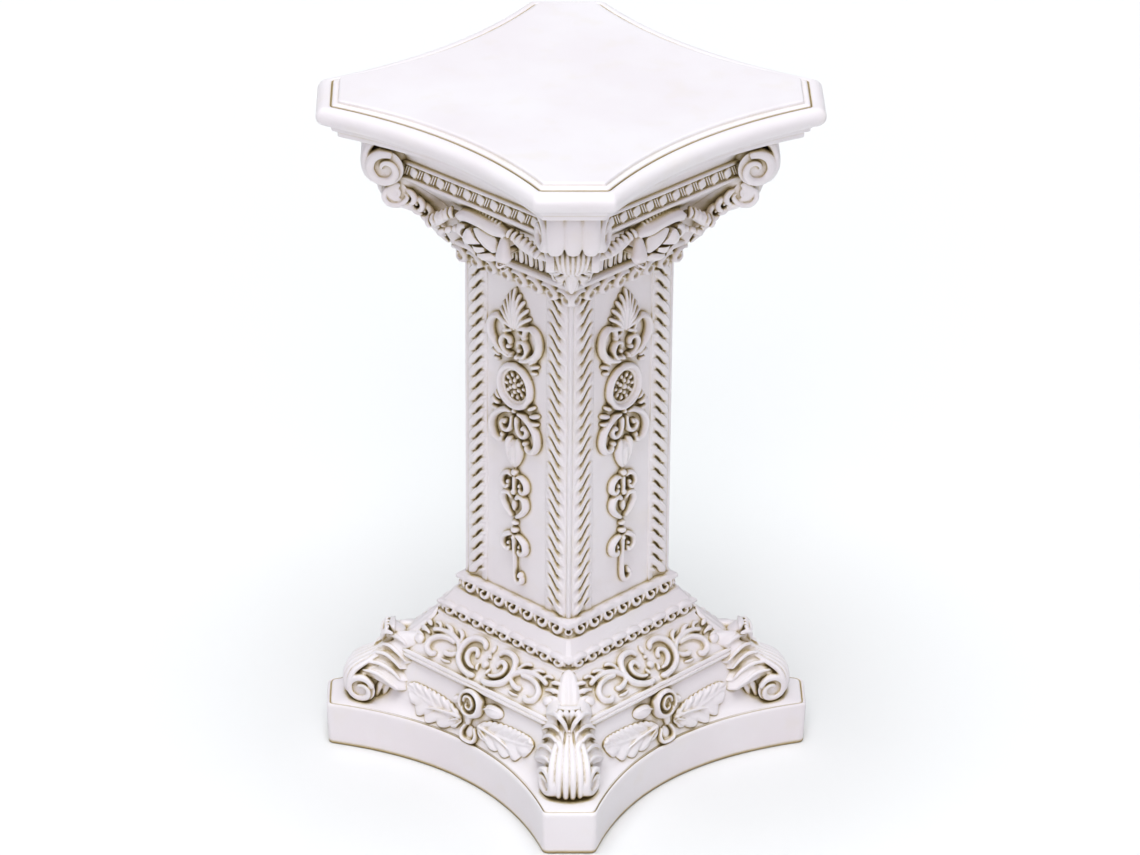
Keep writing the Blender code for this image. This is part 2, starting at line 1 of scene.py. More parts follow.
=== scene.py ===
"""Looks of the carved pedestal column: white cast resin with an ochre wash in its hollows, and shade painted into its
big hollows and deepest crevices.

Everything is built in millimetres and turned into metres when it becomes a piece.
On the face towards -Y, x runs to the right and a point h in front of depth d lies at y = -(d + h).
At the front corner, r runs out along the diagonal (1, -1) and w across it.
"""

import math

import bmesh
import bpy
import numpy as np
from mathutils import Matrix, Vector


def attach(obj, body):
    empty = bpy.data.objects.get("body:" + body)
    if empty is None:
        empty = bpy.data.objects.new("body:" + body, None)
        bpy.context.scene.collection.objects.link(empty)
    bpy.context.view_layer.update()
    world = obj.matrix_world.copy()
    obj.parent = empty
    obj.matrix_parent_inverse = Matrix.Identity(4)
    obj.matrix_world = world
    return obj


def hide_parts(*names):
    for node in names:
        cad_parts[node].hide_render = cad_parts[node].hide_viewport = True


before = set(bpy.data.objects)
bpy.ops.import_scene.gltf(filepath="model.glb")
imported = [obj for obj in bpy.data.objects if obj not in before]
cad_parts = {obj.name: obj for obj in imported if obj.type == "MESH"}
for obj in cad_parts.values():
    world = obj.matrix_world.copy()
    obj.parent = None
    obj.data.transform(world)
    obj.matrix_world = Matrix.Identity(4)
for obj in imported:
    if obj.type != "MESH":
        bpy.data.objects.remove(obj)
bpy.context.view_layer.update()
DIAGONAL = math.sqrt(2)

# Heights in mm, as the CAD has them
Z_PLINTH_TOP = 39.5
Z_LEDGE = 84
Z_SHAFT = 156.7
Z_NECK = 449.5
Z_ROLL = 588
Z_TOP = 600
# Half width of the shaft, width of its moulded corner and of its border of leaves
SHAFT_HALF = 61
ARRIS = 3.6
BORDER = 22.5
# Half widths of the frieze and of the slab's hollow just above it
FRIEZE_HALF = 108.3
HOLLOW_HALF = 108.5
# Edges sharper than this stay sharp
CREASE = math.radians(48)


# Shells and how they are fused


class Clay:
    """Closed shells, in mm, to be fused into one skin."""

    def __init__(self):
        self.points = []
        self.faces = []
        self.size = 0

    def add(self, points, faces):
        self.points.append(np.asarray(points, float))
        self.faces.extend([tuple(i + self.size for i in face) for face in faces])
        self.size += len(points)

    def rings(self, rows):
        """Skin a stack of rings with as many points each, and close both ends."""
        rows = np.asarray(rows, float)
        count, width = rows.shape[:2]
        faces = []
        for low in range(count - 1):
            for index in range(width):
                after = (index + 1) % width
                faces.append((low * width + index, low * width + after, (low + 1) * width + after,
                              (low + 1) * width + index))
        points = np.concatenate([rows.reshape(-1, 3), rows[0].mean(0)[None], rows[-1].mean(0)[None]])
        first, last = count * width, count * width + 1
        for index in range(width):
            after = (index + 1) % width
            faces.append((after, index, first))
            faces.append(((count - 1) * width + index, (count - 1) * width + after, last))
        self.add(points, faces)


def placed(name, points, faces):
    """A linked object with those points and faces."""
    mesh = bpy.data.meshes.new(name)
    mesh.from_pydata(points, [], faces)
    made = bpy.data.objects.new(name, mesh)
    bpy.context.scene.collection.objects.link(made)
    return made


def evaluated(made):
    """The mesh of an object with its modifiers applied."""
    graph = bpy.context.evaluated_depsgraph_get()
    return bpy.data.meshes.new_from_object(made.evaluated_get(graph), depsgraph=graph)


def fuse(clay, voxel, keep, smooth, cuts=()):
    """Fuse the shells of clay into one closed skin, soften it, thin it out to keep triangles and cut it.

    cuts are planes (point, normal): what lies on the normal's side goes. Returns points and triangles.
    """
    made = placed("clay", np.concatenate(clay.points).tolist(), clay.faces)
    remesh = made.modifiers.new("fuse", "REMESH")
    remesh.mode = "VOXEL"
    remesh.voxel_size = voxel
    soften = made.modifiers.new("soften", "SMOOTH")
    soften.factor = 0.5
    soften.iterations = smooth
    fused = evaluated(made)
    made.modifiers.clear()
    made.data = fused
    # The fused skin is made of quads, which count twice as triangles
    share = keep / (2 * len(fused.polygons))
    if share < 1:
        made.modifiers.new("thin", "DECIMATE").ratio = share
        fused = evaluated(made)
    if cuts:
        bm = bmesh.new()
        bm.from_mesh(fused)
        for point, normal in cuts:
            bmesh.ops.bisect_plane(bm, geom=bm.verts[:] + bm.edges[:] + bm.faces[:], dist=1e-4, plane_co=point,
                                   plane_no=normal, clear_outer=True)
        bm.to_mesh(fused)
        bm.free()
    points = np.empty(len(fused.vertices) * 3)
    fused.vertices.foreach_get("co", points)
    fused.calc_loop_triangles()
    faces = np.empty(len(fused.loop_triangles) * 3, np.int32)
    fused.loop_triangles.foreach_get("vertices", faces)
    bpy.data.objects.remove(made)
    return points.reshape(-1, 3), faces.reshape(-1, 3)


def across_middle(points):
    return points * (-1, 1, 1)


def across_corner(points):
    return np.stack([-points[:, 1], -points[:, 0], points[:, 2]], 1)


def turned(points, quarter):
    x, y, z = points.T
    return [points, np.stack([-y, x, z], 1), np.stack([-x, -y, z], 1), np.stack([y, -x, z], 1)][quarter]


# Planes through the axis: a face's middle, its two corners' diagonals, and the corner bracket's own middle
MIDDLE_CUT = ((0, 0, 0), (-1, 0, 0))
CORNER_CUT = ((0, 0, 0), (1, 1, 0))
BOTH_CORNERS = [CORNER_CUT, ((0, 0, 0), (-1, 1, 0))]
BRACKET_CUT = ((0, 0, 0), (-1, -1, 0))


# Places and paths


def upright(depth):
    """A flat upright face at that depth: u across, v up."""
    return lambda u, v, h: np.stack([u, -(depth + h), v + 0 * u], -1)


def sloping(half_low, z_low, half_high, z_high):
    """A sloping face: u across, v the distance down from its upper edge."""
    run, drop = half_low - half_high, z_high - z_low
    length = math.hypot(run, drop)

    def place(u, v, h):
        out = half_high + v * run / length + h * drop / length
        up = z_high - v * drop / length + h * run / length
        return np.stack([u + 0 * v, -out, up], -1)

    return place


def spline(points, step):
    """A smooth line through the points: samples about step apart, and each one's place among the points."""
    points = np.asarray(points, float)
    if len(points) == 2:
        points = np.stack([points[0], points.mean(0), points[1]])
    padded = np.concatenate([2 * points[:1] - points[1:2], points, 2 * points[-1:] - points[-2:-1]])
    samples, marks = [], []
    for index in range(len(points) - 1):
        p0, p1, p2, p3 = padded[index:index + 4]
        count = max(2, int(math.ceil(np.linalg.norm(p2 - p1) / step)))
        t = np.arange(count)[:, None] / count
        samples.append(0.5 * (2 * p1 + (p2 - p0) * t + (2 * p0 - 5 * p1 + 4 * p2 - p3) * t ** 2
                              + (3 * p1 - p0 - 3 * p2 + p3) * t ** 3))
        marks.append(index + t[:, 0])
    samples.append(points[-1:])
    marks.append(np.array([len(points) - 1]))
    return np.concatenate(samples), np.concatenate(marks)


def along(values, marks):
    """Values given at the control points, or one for all, read at the samples."""
    if np.isscalar(values):
        return np.full(len(marks), float(values))
    values = np.asarray(values, float)
    return np.interp(marks * (len(values) - 1) / max(marks[-1], 1e-9), np.arange(len(values)), values)


def rounded(x):
    """Cross-section of a rounded strand."""
    return (1 - np.abs(x) ** 2.4) ** 0.55


def flat_topped(x):
    """Cross-section of a flat band."""
    return (1 - np.abs(x) ** 5) ** 0.6


def tapered(line, size, tips):
    """Each sample's share of the full size, less where the ends are rounded off.

    tips say how long the two rounded ends are, as multiples of size.
    """
    lengths = np.concatenate([[0], np.cumsum(np.linalg.norm(np.diff(line, axis=0), axis=1))])
    ends = np.ones(len(line))
    for tip, run in ((tips[0], lengths), (tips[1], lengths[-1] - lengths)):
        if tip:
            reach = np.clip(run / (tip * size), 0, 1)
            ends = np.minimum(ends, np.sqrt(np.maximum(1 - (1 - reach) ** 2, 0.01)))
    return ends


def unit(vectors):
    return vectors / np.maximum(np.linalg.norm(vectors, axis=1, keepdims=True), 1e-9)


def strand(clay, place, path, half, crest, shape=rounded, sink=1.6, across=9, step=0.9, tips=(1, 1)):
    """A strand along path: half its width, crest its height, shape(x) its section, sink its depth under h = 0."""
    line, marks = spline(path, step)
    width, height = along(half, marks), along(crest, marks)
    tangent = unit(np.gradient(line, axis=0))
    side = np.stack([-tangent[:, 1], tangent[:, 0]], 1)
    ends = tapered(line, np.max(width), tips)
    x = np.sin(np.linspace(-math.pi / 2, math.pi / 2, across))
    rows = []
    for index, end in enumerate(ends):
        u, v = line[index][:, None] + side[index][:, None] * (width[index] * end * x)
        h = height[index] * (0.25 + 0.75 * end) * shape(x)
        h[0] = h[-1] = -sink
        rows.append(place(u, v, h))
    clay.rings(rows)


def bead(clay, place, u, v, radius, height, stretch=1, lean=0):
    """A rounded bead, or an oval one: stretch along the direction lean."""
    turn = np.linspace(0, 2 * math.pi, 14, endpoint=False)
    rows = []
    for polar in np.linspace(-0.45, 0.97, 9) * math.pi / 2:
        ring = radius * math.cos(polar)
        a, b = ring * stretch * np.cos(turn), ring * np.sin(turn)
        rows.append(place(u + a * math.cos(lean) - b * math.sin(lean), v + a * math.sin(lean) + b * math.cos(lean),
                          height * math.sin(polar) + 0 * turn))
    clay.rings(rows)


def solid(clay, place, top, base):
    """A solid under the skin top, an array of (u, v, h), with walls down to h = base."""
    low = top.copy()
    low[..., 2] = base
    n, m = top.shape[:2]
    points = np.concatenate([top.reshape(-1, 3), low.reshape(-1, 3)])
    size = n * m
    faces = []
    for i in range(n - 1):
        for j in range(m - 1):
            a, b, c, d = i * m + j, (i + 1) * m + j, (i + 1) * m + j + 1, i * m + j + 1
            faces += [(a, b, c, d), (d + size, c + size, b + size, a + size)]
    rim = ([i * m for i in range(n)] + [(n - 1) * m + j for j in range(1, m)]
           + [i * m + m - 1 for i in range(n - 2, -1, -1)] + [j for j in range(m - 2, 0, -1)])
    for a, b in zip(rim, rim[1:] + rim[:1]):
        faces.append((b, a, a + size, b + size))
    clay.add(place(points[:, 0], points[:, 1], points[:, 2]), faces)


def both(build, path, *args, **more):
    """Build on a path and on its mirror image."""
    build(path, *args, **more)
    build([(-u, v) for u, v in path], *args, **more)


# Shaft


def shaft_relief():
    """The tall ornament on one face of the shaft."""
    clay = Clay()
    face = upright(SHAFT_HALF)

    def stroke(path, half, crest, **more):
        strand(clay, face, path, half, crest, **more)

    def pair(path, half, crest, **more):
        both(stroke, path, half, crest, **more)

    def beads(u, v, radius, height):
        bead(clay, face, u, v, radius, height)
        bead(clay, face, -u, v, radius, height, lean=math.pi)

    # Palmette: lobes that fan out of its foot over a shallow bed
    stroke([(0, 402), (0, 414), (0, 426), (0, 437)], [6, 15, 10, 3], [2.6, 4.2, 4, 2.5])
    for tip_u, tip_v, bend, size in ((19.4, 412.5, 2, 2.9), (17.8, 420.5, 2.6, 3), (14.2, 427.5, 2.4, 2.9),
                                     (9.8, 434, 1.8, 2.7), (5.2, 439, 1, 2.5)):
        pair([(1.4, 405.5), (0.55 * tip_u - 0.35 * bend, 405 + 0.62 * (tip_v - 405)), (tip_u, tip_v)], [1.2, size, 1.7],
             [4.6, 6.6, 4.2])
    stroke([(0, 404), (0, 425), (0, 443.5)], [1.6, 3, 1.2], [5.5, 7.6, 4.6])
    pair([(2.5, 405), (8.5, 402.6), (13.5, 405.4)], [1.6, 2.5, 1.6], [4.6, 5.6, 4.2])

    # Upper scrolls
    pair([(10.5, 402), (12.6, 408), (18.8, 412), (25.6, 408.4), (28.3, 399.5), (24.6, 389.5), (15.5, 382.4),
          (4.5, 378.6)], [2.5, 2.3, 2.6, 3.2, 3.7, 3.5, 2.9, 2.1], [5.4, 5.8, 6.6, 7.4, 7.6, 7.2, 6.6, 5.8])
    beads(11, 401.4, 3, 6.2)
    pair([(3.6, 381.4), (11, 384), (14.8, 390.4), (11.4, 396.8), (5.6, 395.6), (4.6, 390.4)],
         [1.7, 2.3, 2.7, 2.5, 2.2, 2], [5.4, 6.2, 6.8, 6.8, 6.4, 5.8])
    beads(6.2, 388.6, 2.7, 6.6)
    beads(3.4, 381.6, 2.5, 7.4)
    pair([(16.5, 378), (20.5, 382.5), (24.8, 385.2)], [1.6, 2.5, 1.7], [4.4, 5.8, 4.6])
    pair([(17.5, 375.5), (22.5, 378.6), (27.4, 379.6)], [1.6, 2.5, 1.8], [4.4, 6, 4.8])
    pair([(18, 371.5), (21.6, 372.6), (25, 372.8)], [1.7, 2.4, 1.8], [4.2, 5.6, 4.4])

    # Round frame with its beaded rosette
    turn = np.linspace(0, 2 * math.pi, 40)
    middle = 353.5
    for wide, tall, half, crest in ((17.6, 18.2, 3.1, 6.6), (13.9, 14.5, 1.5, 2.6)):
        stroke(np.stack([wide * np.cos(turn), middle + tall * np.sin(turn)], 1), half, crest, tips=(0, 0))
    bead(clay, face, 0, middle, 2.9, 5.6)
    for count, shift, out, radius, height, stretch in ((6, 0.5, 5.2, 2.2, 4.6, 1.15), (10, 0, 9.9, 1.9, 3.9, 1.5)):
        for index in range(count):
            angle = 2 * math.pi * (index + shift) / count
            bead(clay, face, out * math.cos(angle), middle + out * math.sin(angle), radius, height, stretch, angle)

    # Husks and lower scrolls
    pair([(15, 336.8), (19, 339), (23.4, 341.6)], [1.6, 2.4, 1.7], [4.4, 5.6, 4.4])
    pair([(17, 331.5), (22.5, 333.2), (28.2, 334.8)], [1.6, 2.6, 1.8], [4.6, 6.2, 4.8])
    pair([(18.5, 327), (23, 326.4), (27.6, 327.4)], [1.6, 2.4, 1.7], [4.4, 5.6, 4.4])
    pair([(2.6, 329.6), (9.5, 329.2), (17.6, 325.4), (24.4, 318.4), (26.4, 309.4), (22.6, 301), (16.4, 299.4),
          (12.6, 303.8)], [2, 2.6, 3, 3.3, 3.4, 3, 2.6, 2.2], [5.6, 6.2, 6.8, 7.2, 7.2, 6.8, 6.2, 5.6])
    beads(13, 305.2, 3, 6.6)
    pair([(2.6, 327), (2.9, 318.8), (6, 312), (11.4, 310.6), (14.6, 315.2), (11.8, 319.6)],
         [1.9, 2.1, 2.3, 2.4, 2.3, 2], [5.6, 6, 6.4, 6.4, 6.2, 5.6])
    beads(10.4, 317.8, 2.6, 6.4)
    bead(clay, face, 0, 331, 2.6, 6.4)

    # Bell leaf
    stroke([(0, 304), (0, 297), (0, 287), (0, 277)], [8.6, 9.8, 7.4, 2.2], [5.8, 7.2, 6.6, 4.4], across=11)
    pair([(3.5, 306.5), (6.2, 300), (5.4, 290), (1.4, 279)], [3, 4, 3.4, 1.4], [6.4, 7.4, 7, 4.8])
    stroke([(0, 301), (0, 290), (0, 280)], [1.4, 2.2, 1.2], [7, 8, 6])

    # Curls, beads, heart, loops and the hooked stem
    bead(clay, face, 0, 273.6, 3.3, 6.4, stretch=1.15)
    pair([(1.6, 269.5), (7.5, 271.2), (13.2, 267.4), (13.8, 261), (9.4, 257.6), (5.6, 261)],
         [1.5, 2, 2.5, 2.5, 2.3, 2.2], [4.8, 5.8, 6.4, 6.4, 6.2, 5.6])
    beads(6.8, 263.2, 2.4, 6)
    stroke([(0, 271), (0, 262), (0, 255)], 2.3, 5.2)
    bead(clay, face, 0, 255.6, 3.2, 6.6, stretch=1.2)
    pair([(1.4, 248.4), (5.6, 253.2), (11.4, 252), (13.2, 245.4), (9, 238.2), (1.6, 231.6)], [2, 2.5, 3, 3.1, 2.8, 2],
         [5.4, 6.4, 6.8, 6.8, 6.4, 5.4])
    stroke([(0, 249), (0, 243), (0, 237)], [2.4, 3, 1.4], [4.8, 5.4, 3.8])
    bead(clay, face, 0, 226.8, 2.9, 5.8, stretch=1.35)
    bead(clay, face, 0, 219.8, 3.3, 6.2, stretch=1.3)
    pair([(1, 215.6), (6.6, 214), (12.4, 209.8), (12.8, 203.2), (8, 199.4), (4.4, 203)], [1.6, 2.2, 2.8, 2.9, 2.7, 2.2],
         [5, 6, 6.8, 6.8, 6.4, 5.6])
    beads(6.4, 205.6, 2.2, 5.4)
    stroke([(0, 216), (0, 204), (0, 190), (0.4, 177.5), (3.6, 171.4), (8.4, 173.2), (8.8, 178.6)],
           [2.6, 2.2, 2.1, 2.3, 2.4, 2.4, 2.2], [5.6, 5.2, 5, 5.2, 5.6, 6, 5.8])
    bead(clay, face, 7.2, 179, 3, 6.4)
    bead(clay, face, 0, 212.4, 3, 6.4)
    return clay


def laurel(clay, face):
    """Slanted leaves up a border, their tips to the panel, with a small lobe and a slot between two."""
    pitch = 11.6
    inner, outer = SHAFT_HALF - ARRIS - BORDER + 0.4, SHAFT_HALF - ARRIS - 0.8
    leaf = (((0.02, -2), (0.26, 3), (0.5, 8.6), (0.72, 13.4), (0.95, 16.6)), [2.2, 4.3, 3, 3.5, 2],
            [2, 3.2, 3.6, 3.7, 2.4])
    lobe = ((0.62, 3.4), (0.84, 6.6), (1.01, 8.2)), [1, 2.3, 1.7], [2, 3.2, 2.5]
    slot = ((0.14, 3.6), (0.34, 8.4), (0.5, 12.6)), [0.5, 0.75, 0.5], [3.2, 4.2, 3.4]
    for index in range(-2, int((Z_NECK - Z_SHAFT) / pitch) + 2):
        root = Z_SHAFT + (index + 0.3) * pitch
        if root + leaf[0][0][1] < Z_SHAFT - 0.4 * pitch or root + leaf[0][-1][1] > Z_NECK + 0.8 * pitch:
            continue
        for path, half, crest in (leaf, lobe, slot):
            strand(clay, face, [(outer + (inner - outer) * u, root + v) for u, v in path], half, crest, sink=3.5)


def shaft_body():
    """Half a face of the shaft, past its middle and its corner, with its border of leaves."""
    clay = Clay()
    half = SHAFT_HALF
    inner = half - ARRIS - BORDER
    edge = half - ARRIS
    # Plan outline as (x, depth), from the middle past the corner
    front = [(-6, half), (inner - 0.9, half), (inner - 0.3, half + 1.2), (inner + 1.4, half + 1.2),
             (inner + 5.5, half + 0.7), (inner + 7, half - 0.7), (inner + 12.5, half - 0.7), (edge - 6, half + 1.2),
             (edge - 1.4, half + 1), (edge - 0.5, half + 0.3), (edge - 0.1, half - 1.1), (edge + 0.5, half + 0.1),
             (half - 0.7, half + 0.35)]
    outline = front + [(d, x) for x, d in reversed(front) if x > half - 12] + [(half - 4, half - 24), (-6, half - 24)]
    clay.rings([[(x, -d, z) for x, d in outline] for z in np.linspace(Z_SHAFT - 5, Z_NECK + 4, 30)])
    laurel(clay, upright(half))
    return clay


# Plans and profiles


# How much wider a clipped corner gets for each millimetre that the sides move out
OCTAGON = 2 * math.tan(math.pi / 8)


def plan(half, clip, dip, soft):
    """Plan outline of an eighth: from the middle of a side to the corner's diagonal, as (x, depth)."""
    end = half - clip / DIAGONAL
    vertex = np.array([end, half])
    corner = np.array([half - clip / (2 * DIAGONAL)] * 2)
    slope = np.array([1, 2 * dip / end])
    before = vertex - slope / np.linalg.norm(slope) * soft
    reach = corner - vertex
    after = vertex + reach / np.linalg.norm(reach) * min(soft, 0.8 * np.linalg.norm(reach))
    x = before[0] * np.linspace(0, 1, 22)
    side = np.stack([x, half - dip * (1 - (x / end) ** 2)], 1)
    t = np.linspace(0, 1, 6)[:, None]
    arc = before * (1 - t) ** 2 + 2 * vertex * t * (1 - t) + after * t ** 2
    clipped = after + (corner - after) * np.linspace(0, 1, 6)[1:, None]
    return np.concatenate([side[:-1], arc, clipped])


def loft(rows):
    """Skin an eighth from its plan outlines at rising heights, and close it at the axis."""
    rings = np.array([[(x, -d, z) for x, d in outline] for outline, z in rows])
    count, width = rings.shape[:2]
    faces = []
    for low in range(count - 1):
        for index in range(width - 1):
            a, b = low * width + index, low * width + index + 1
            c, d = b + width, a + width
            faces += [(a, b, c), (a, c, d)]
    points = np.concatenate([rings.reshape(-1, 3), [(0, 0, rows[0][1]), (0, 0, rows[-1][1])]])
    first, last = count * width, count * width + 1
    for index in range(width - 1):
        faces.append((index + 1, index, first))
        faces.append(((count - 1) * width + index, (count - 1) * width + index + 1, last))
    return points, np.array(faces)


def wedge(clay, profile):
    """One side of a square course, past both corners: profile holds (half, z, clip)."""
    rows = []
    for half, z, clip in profile:
        end, back = half - clip / DIAGONAL, half - 14
        outline = [(-half, back), (-half, end), *((x, half) for x in np.linspace(-end, end, 5)), (half, end),
                   (half, back), (0, -18)]
        rows.append([(x, -d, z) for x, d in outline])
    clay.rings(rows)


# Plinth and lower panel


PLINTH_HALF, PLINTH_CLIP, PLINTH_DIP = 161, 44, 37
LOWER_MARKS = [0, 0.012, 0.025, 0.04, 0.06, 0.09, 0.13, 0.19, 0.27, 1]


def plinth():
    """The plinth with its rounded edge, and the lower panel up to the ledge."""
    edge = [(-3, 0), (-1.9, 0.25), (-1.5, 1), (-1.3, 4), (-0.9, 12), (-0.5, 22), (-0.2, 30), (-0.1, 34), (0, 36.4),
            (-0.25, 37.6), (-0.8, 38.5), (-1.6, 39), (-2.2, 38.9), (-2.7, 38.2), (-3.2, 37.7), (-3.7, 38.2),
            (-4.3, 39.2), (-5, 39.45)]
    rows = [(plan(PLINTH_HALF + out, PLINTH_CLIP + OCTAGON * out, PLINTH_DIP, 4.5), z) for out, z in edge]
    rows += [lower_ring(share) for share in LOWER_MARKS[:-1] + [0.4, 0.5, 0.6, 0.7, 0.8, 0.9, 0.96, 1]]
    outline, z = lower_ring(1)
    rows += [(outline * 0.985, z + 1), (outline * 0.97, z + 3), (outline * 0.9, z + 3.5)]
    return loft(rows)


def lower_half(share):
    """Half width, clip and dip of the lower panel: it sweeps out into the plinth's top at its foot."""
    halves = [155, 148, 141, 135.5, 130.8, 127, 124.3, 122, 120.2, 108.5]
    middles = [120, 119.9, 119.7, 119.4, 119, 118.5, 117.9, 117.1, 116.1, 108.5]
    clips = [39.6, 36, 32, 29, 26, 24, 22.5, 21, 19.5, 7.2]
    half, middle, clip = (np.interp(share, LOWER_MARKS, values) for values in (halves, middles, clips))
    return half, clip, half - middle


def lower_ring(share):
    half, clip, dip = lower_half(share)
    return plan(half, clip, dip, 2), Z_PLINTH_TOP + (Z_LEDGE - Z_PLINTH_TOP) * share


def lower_panel(u, v, h):
    """The lower panel: v is the height above the floor."""
    half, clip, dip = lower_half(np.clip((v - Z_PLINTH_TOP) / (Z_LEDGE - Z_PLINTH_TOP), 0, 1))
    depth = half - dip * (1 - np.minimum(1, (u / (half - clip / DIAGONAL)) ** 2))
    lean = 0.3
    return np.stack([u + 0 * v, -(depth + h * math.cos(lean)), v + h * math.sin(lean) + 0 * u], -1)


# Base


def leaf_and_curl(clay, place, middle, tall):
    """One unit of the carved bands: a hood over a dark-eyed curl."""
    def path(*points):
        return [(middle + u, v * tall / 14) for u, v in points]

    strand(clay, place, path((-7.8, 5.6), (-5, 3), (0, 2.1), (5, 3), (7.6, 5.6)), [2.4, 3.1, 3.4, 3.1, 2.4],
           [3.8, 4.8, 5.2, 4.8, 3.8], step=1)
    strand(clay, place, path((5.6, 4.4), (6.7, 7.8), (4.8, 11.3), (0.8, 12.2), (-2, 9.9), (-0.4, 7.6), (1.9, 8.4)),
           [2.1, 2.1, 2, 1.8, 1.6, 1.3, 1.1], [4.4, 4.8, 4.6, 4.2, 3.8, 3.6, 3.4], step=0.8)
    strand(clay, place, path((-7.4, 5.4), (-6.4, 8.8), (-4.4, 12.2)), [1.7, 1.9, 1.1], [3.6, 3.8, 2.6], step=1)


def at_corner(half, z, lean, hand):
    """A place on a course's corner: u across it, v up its slope, h outwards."""
    def place(u, v, h):
        r = half * DIAGONAL + h * math.cos(lean) - v * math.sin(lean)
        up = z + v * math.cos(lean) + h * math.sin(lean) + 0 * u
        return np.stack([hand * (r + u) / DIAGONAL, (u - r) / DIAGONAL, up], -1)
    return place


def scroll_relief(clay, place):
    """Paired scrolls, branches and curls on the sloping panel."""
    def pair(path, half, crest):
        both(lambda *args: strand(clay, place, *args), path, half, crest)

    bead(clay, place, 0, 22.6, 3.9, 5.4)
    bead(clay, place, 0, 15, 2.2, 3.8)
    strand(clay, place, [(0, 12), (0, 7.6), (0, 3.6)], [1.4, 2.4, 1.4], [3.4, 4, 2.8])
    # The two big scrolls and the curl inside each
    pair([(3.6, 35), (10, 36), (19, 34), (27, 28.6), (30.4, 20.4), (28.8, 11.8), (23.6, 6.6), (16.4, 5), (10.4, 6.8),
          (8, 11.6)], [2.7, 3, 3.1, 3.3, 3.4, 3.3, 3.1, 3, 2.9, 2.7],
         [4.6, 5.2, 5.6, 5.8, 5.8, 5.8, 5.6, 5.4, 5.2, 4.6])
    pair([(7.6, 29.6), (14.6, 28.6), (20.6, 23.6), (20.8, 17.2), (15.6, 14.4), (12.2, 17.6), (12.6, 21.4)],
         [1.7, 2.3, 2.7, 2.7, 2.5, 2.3, 2.1], [4, 4.6, 5, 5, 4.8, 4.6, 4.4])
    pair([(5, 30.6), (6.4, 27), (6.6, 23.4)], [1.5, 2, 1.2], [3.6, 4, 2.8])
    # Branch with its leaf under the band
    pair([(29, 26), (31.6, 20.6), (37, 15.4), (45.6, 12.4), (54, 12), (61.4, 13), (68.4, 15.4)],
         [2.4, 2.7, 2.9, 2.9, 2.7, 2.6, 2.6], [4.8, 5.2, 5.4, 5.4, 5, 4.8, 4.4])
    pair([(33.4, 15.8), (35.8, 10.2), (39.6, 6.8), (44.6, 6.2)], [1.8, 2.3, 2.3, 1.7], [3.8, 4.4, 4.4, 3.4])
    pair([(46, 11.6), (52.6, 7.6), (59.6, 6.8)], [1.8, 2.3, 1.6], [3.8, 4.4, 3.2])
    pair([(60, 11.6), (65, 8), (70.4, 8.4)], [1.5, 2, 1.5], [3.4, 3.8, 3])
    # Arm and open scroll below it
    pair([(31.4, 23.6), (35.6, 27), (41.6, 28.8), (46.4, 27.4)], [2.1, 2.5, 2.7, 2.7], [4.4, 4.8, 5, 4.8])
    pair([(38.4, 17.6), (49.6, 16.4), (58.8, 18.8), (64.6, 25), (63.4, 31.6), (56.8, 34.4), (51.8, 31.4)],
         [2.1, 2.6, 2.9, 3, 3, 2.9, 2.7], [4.4, 4.8, 5.2, 5.4, 5.4, 5.2, 4.8])
    pair([(34, 33.6), (40, 34.8), (46.4, 34.2)], [1.2, 1.8, 1.2], [2.6, 3, 2.4])
    # Smooth oval beside the foot
    for u in (76.6, -76.6):
        bead(clay, place, u, 27, 4.6, 4.4, stretch=1.3)
    pair([(68, 20), (73.4, 17.8), (79.4, 19.2)], [1.3, 1.9, 1.4], [3, 3.6, 2.8])


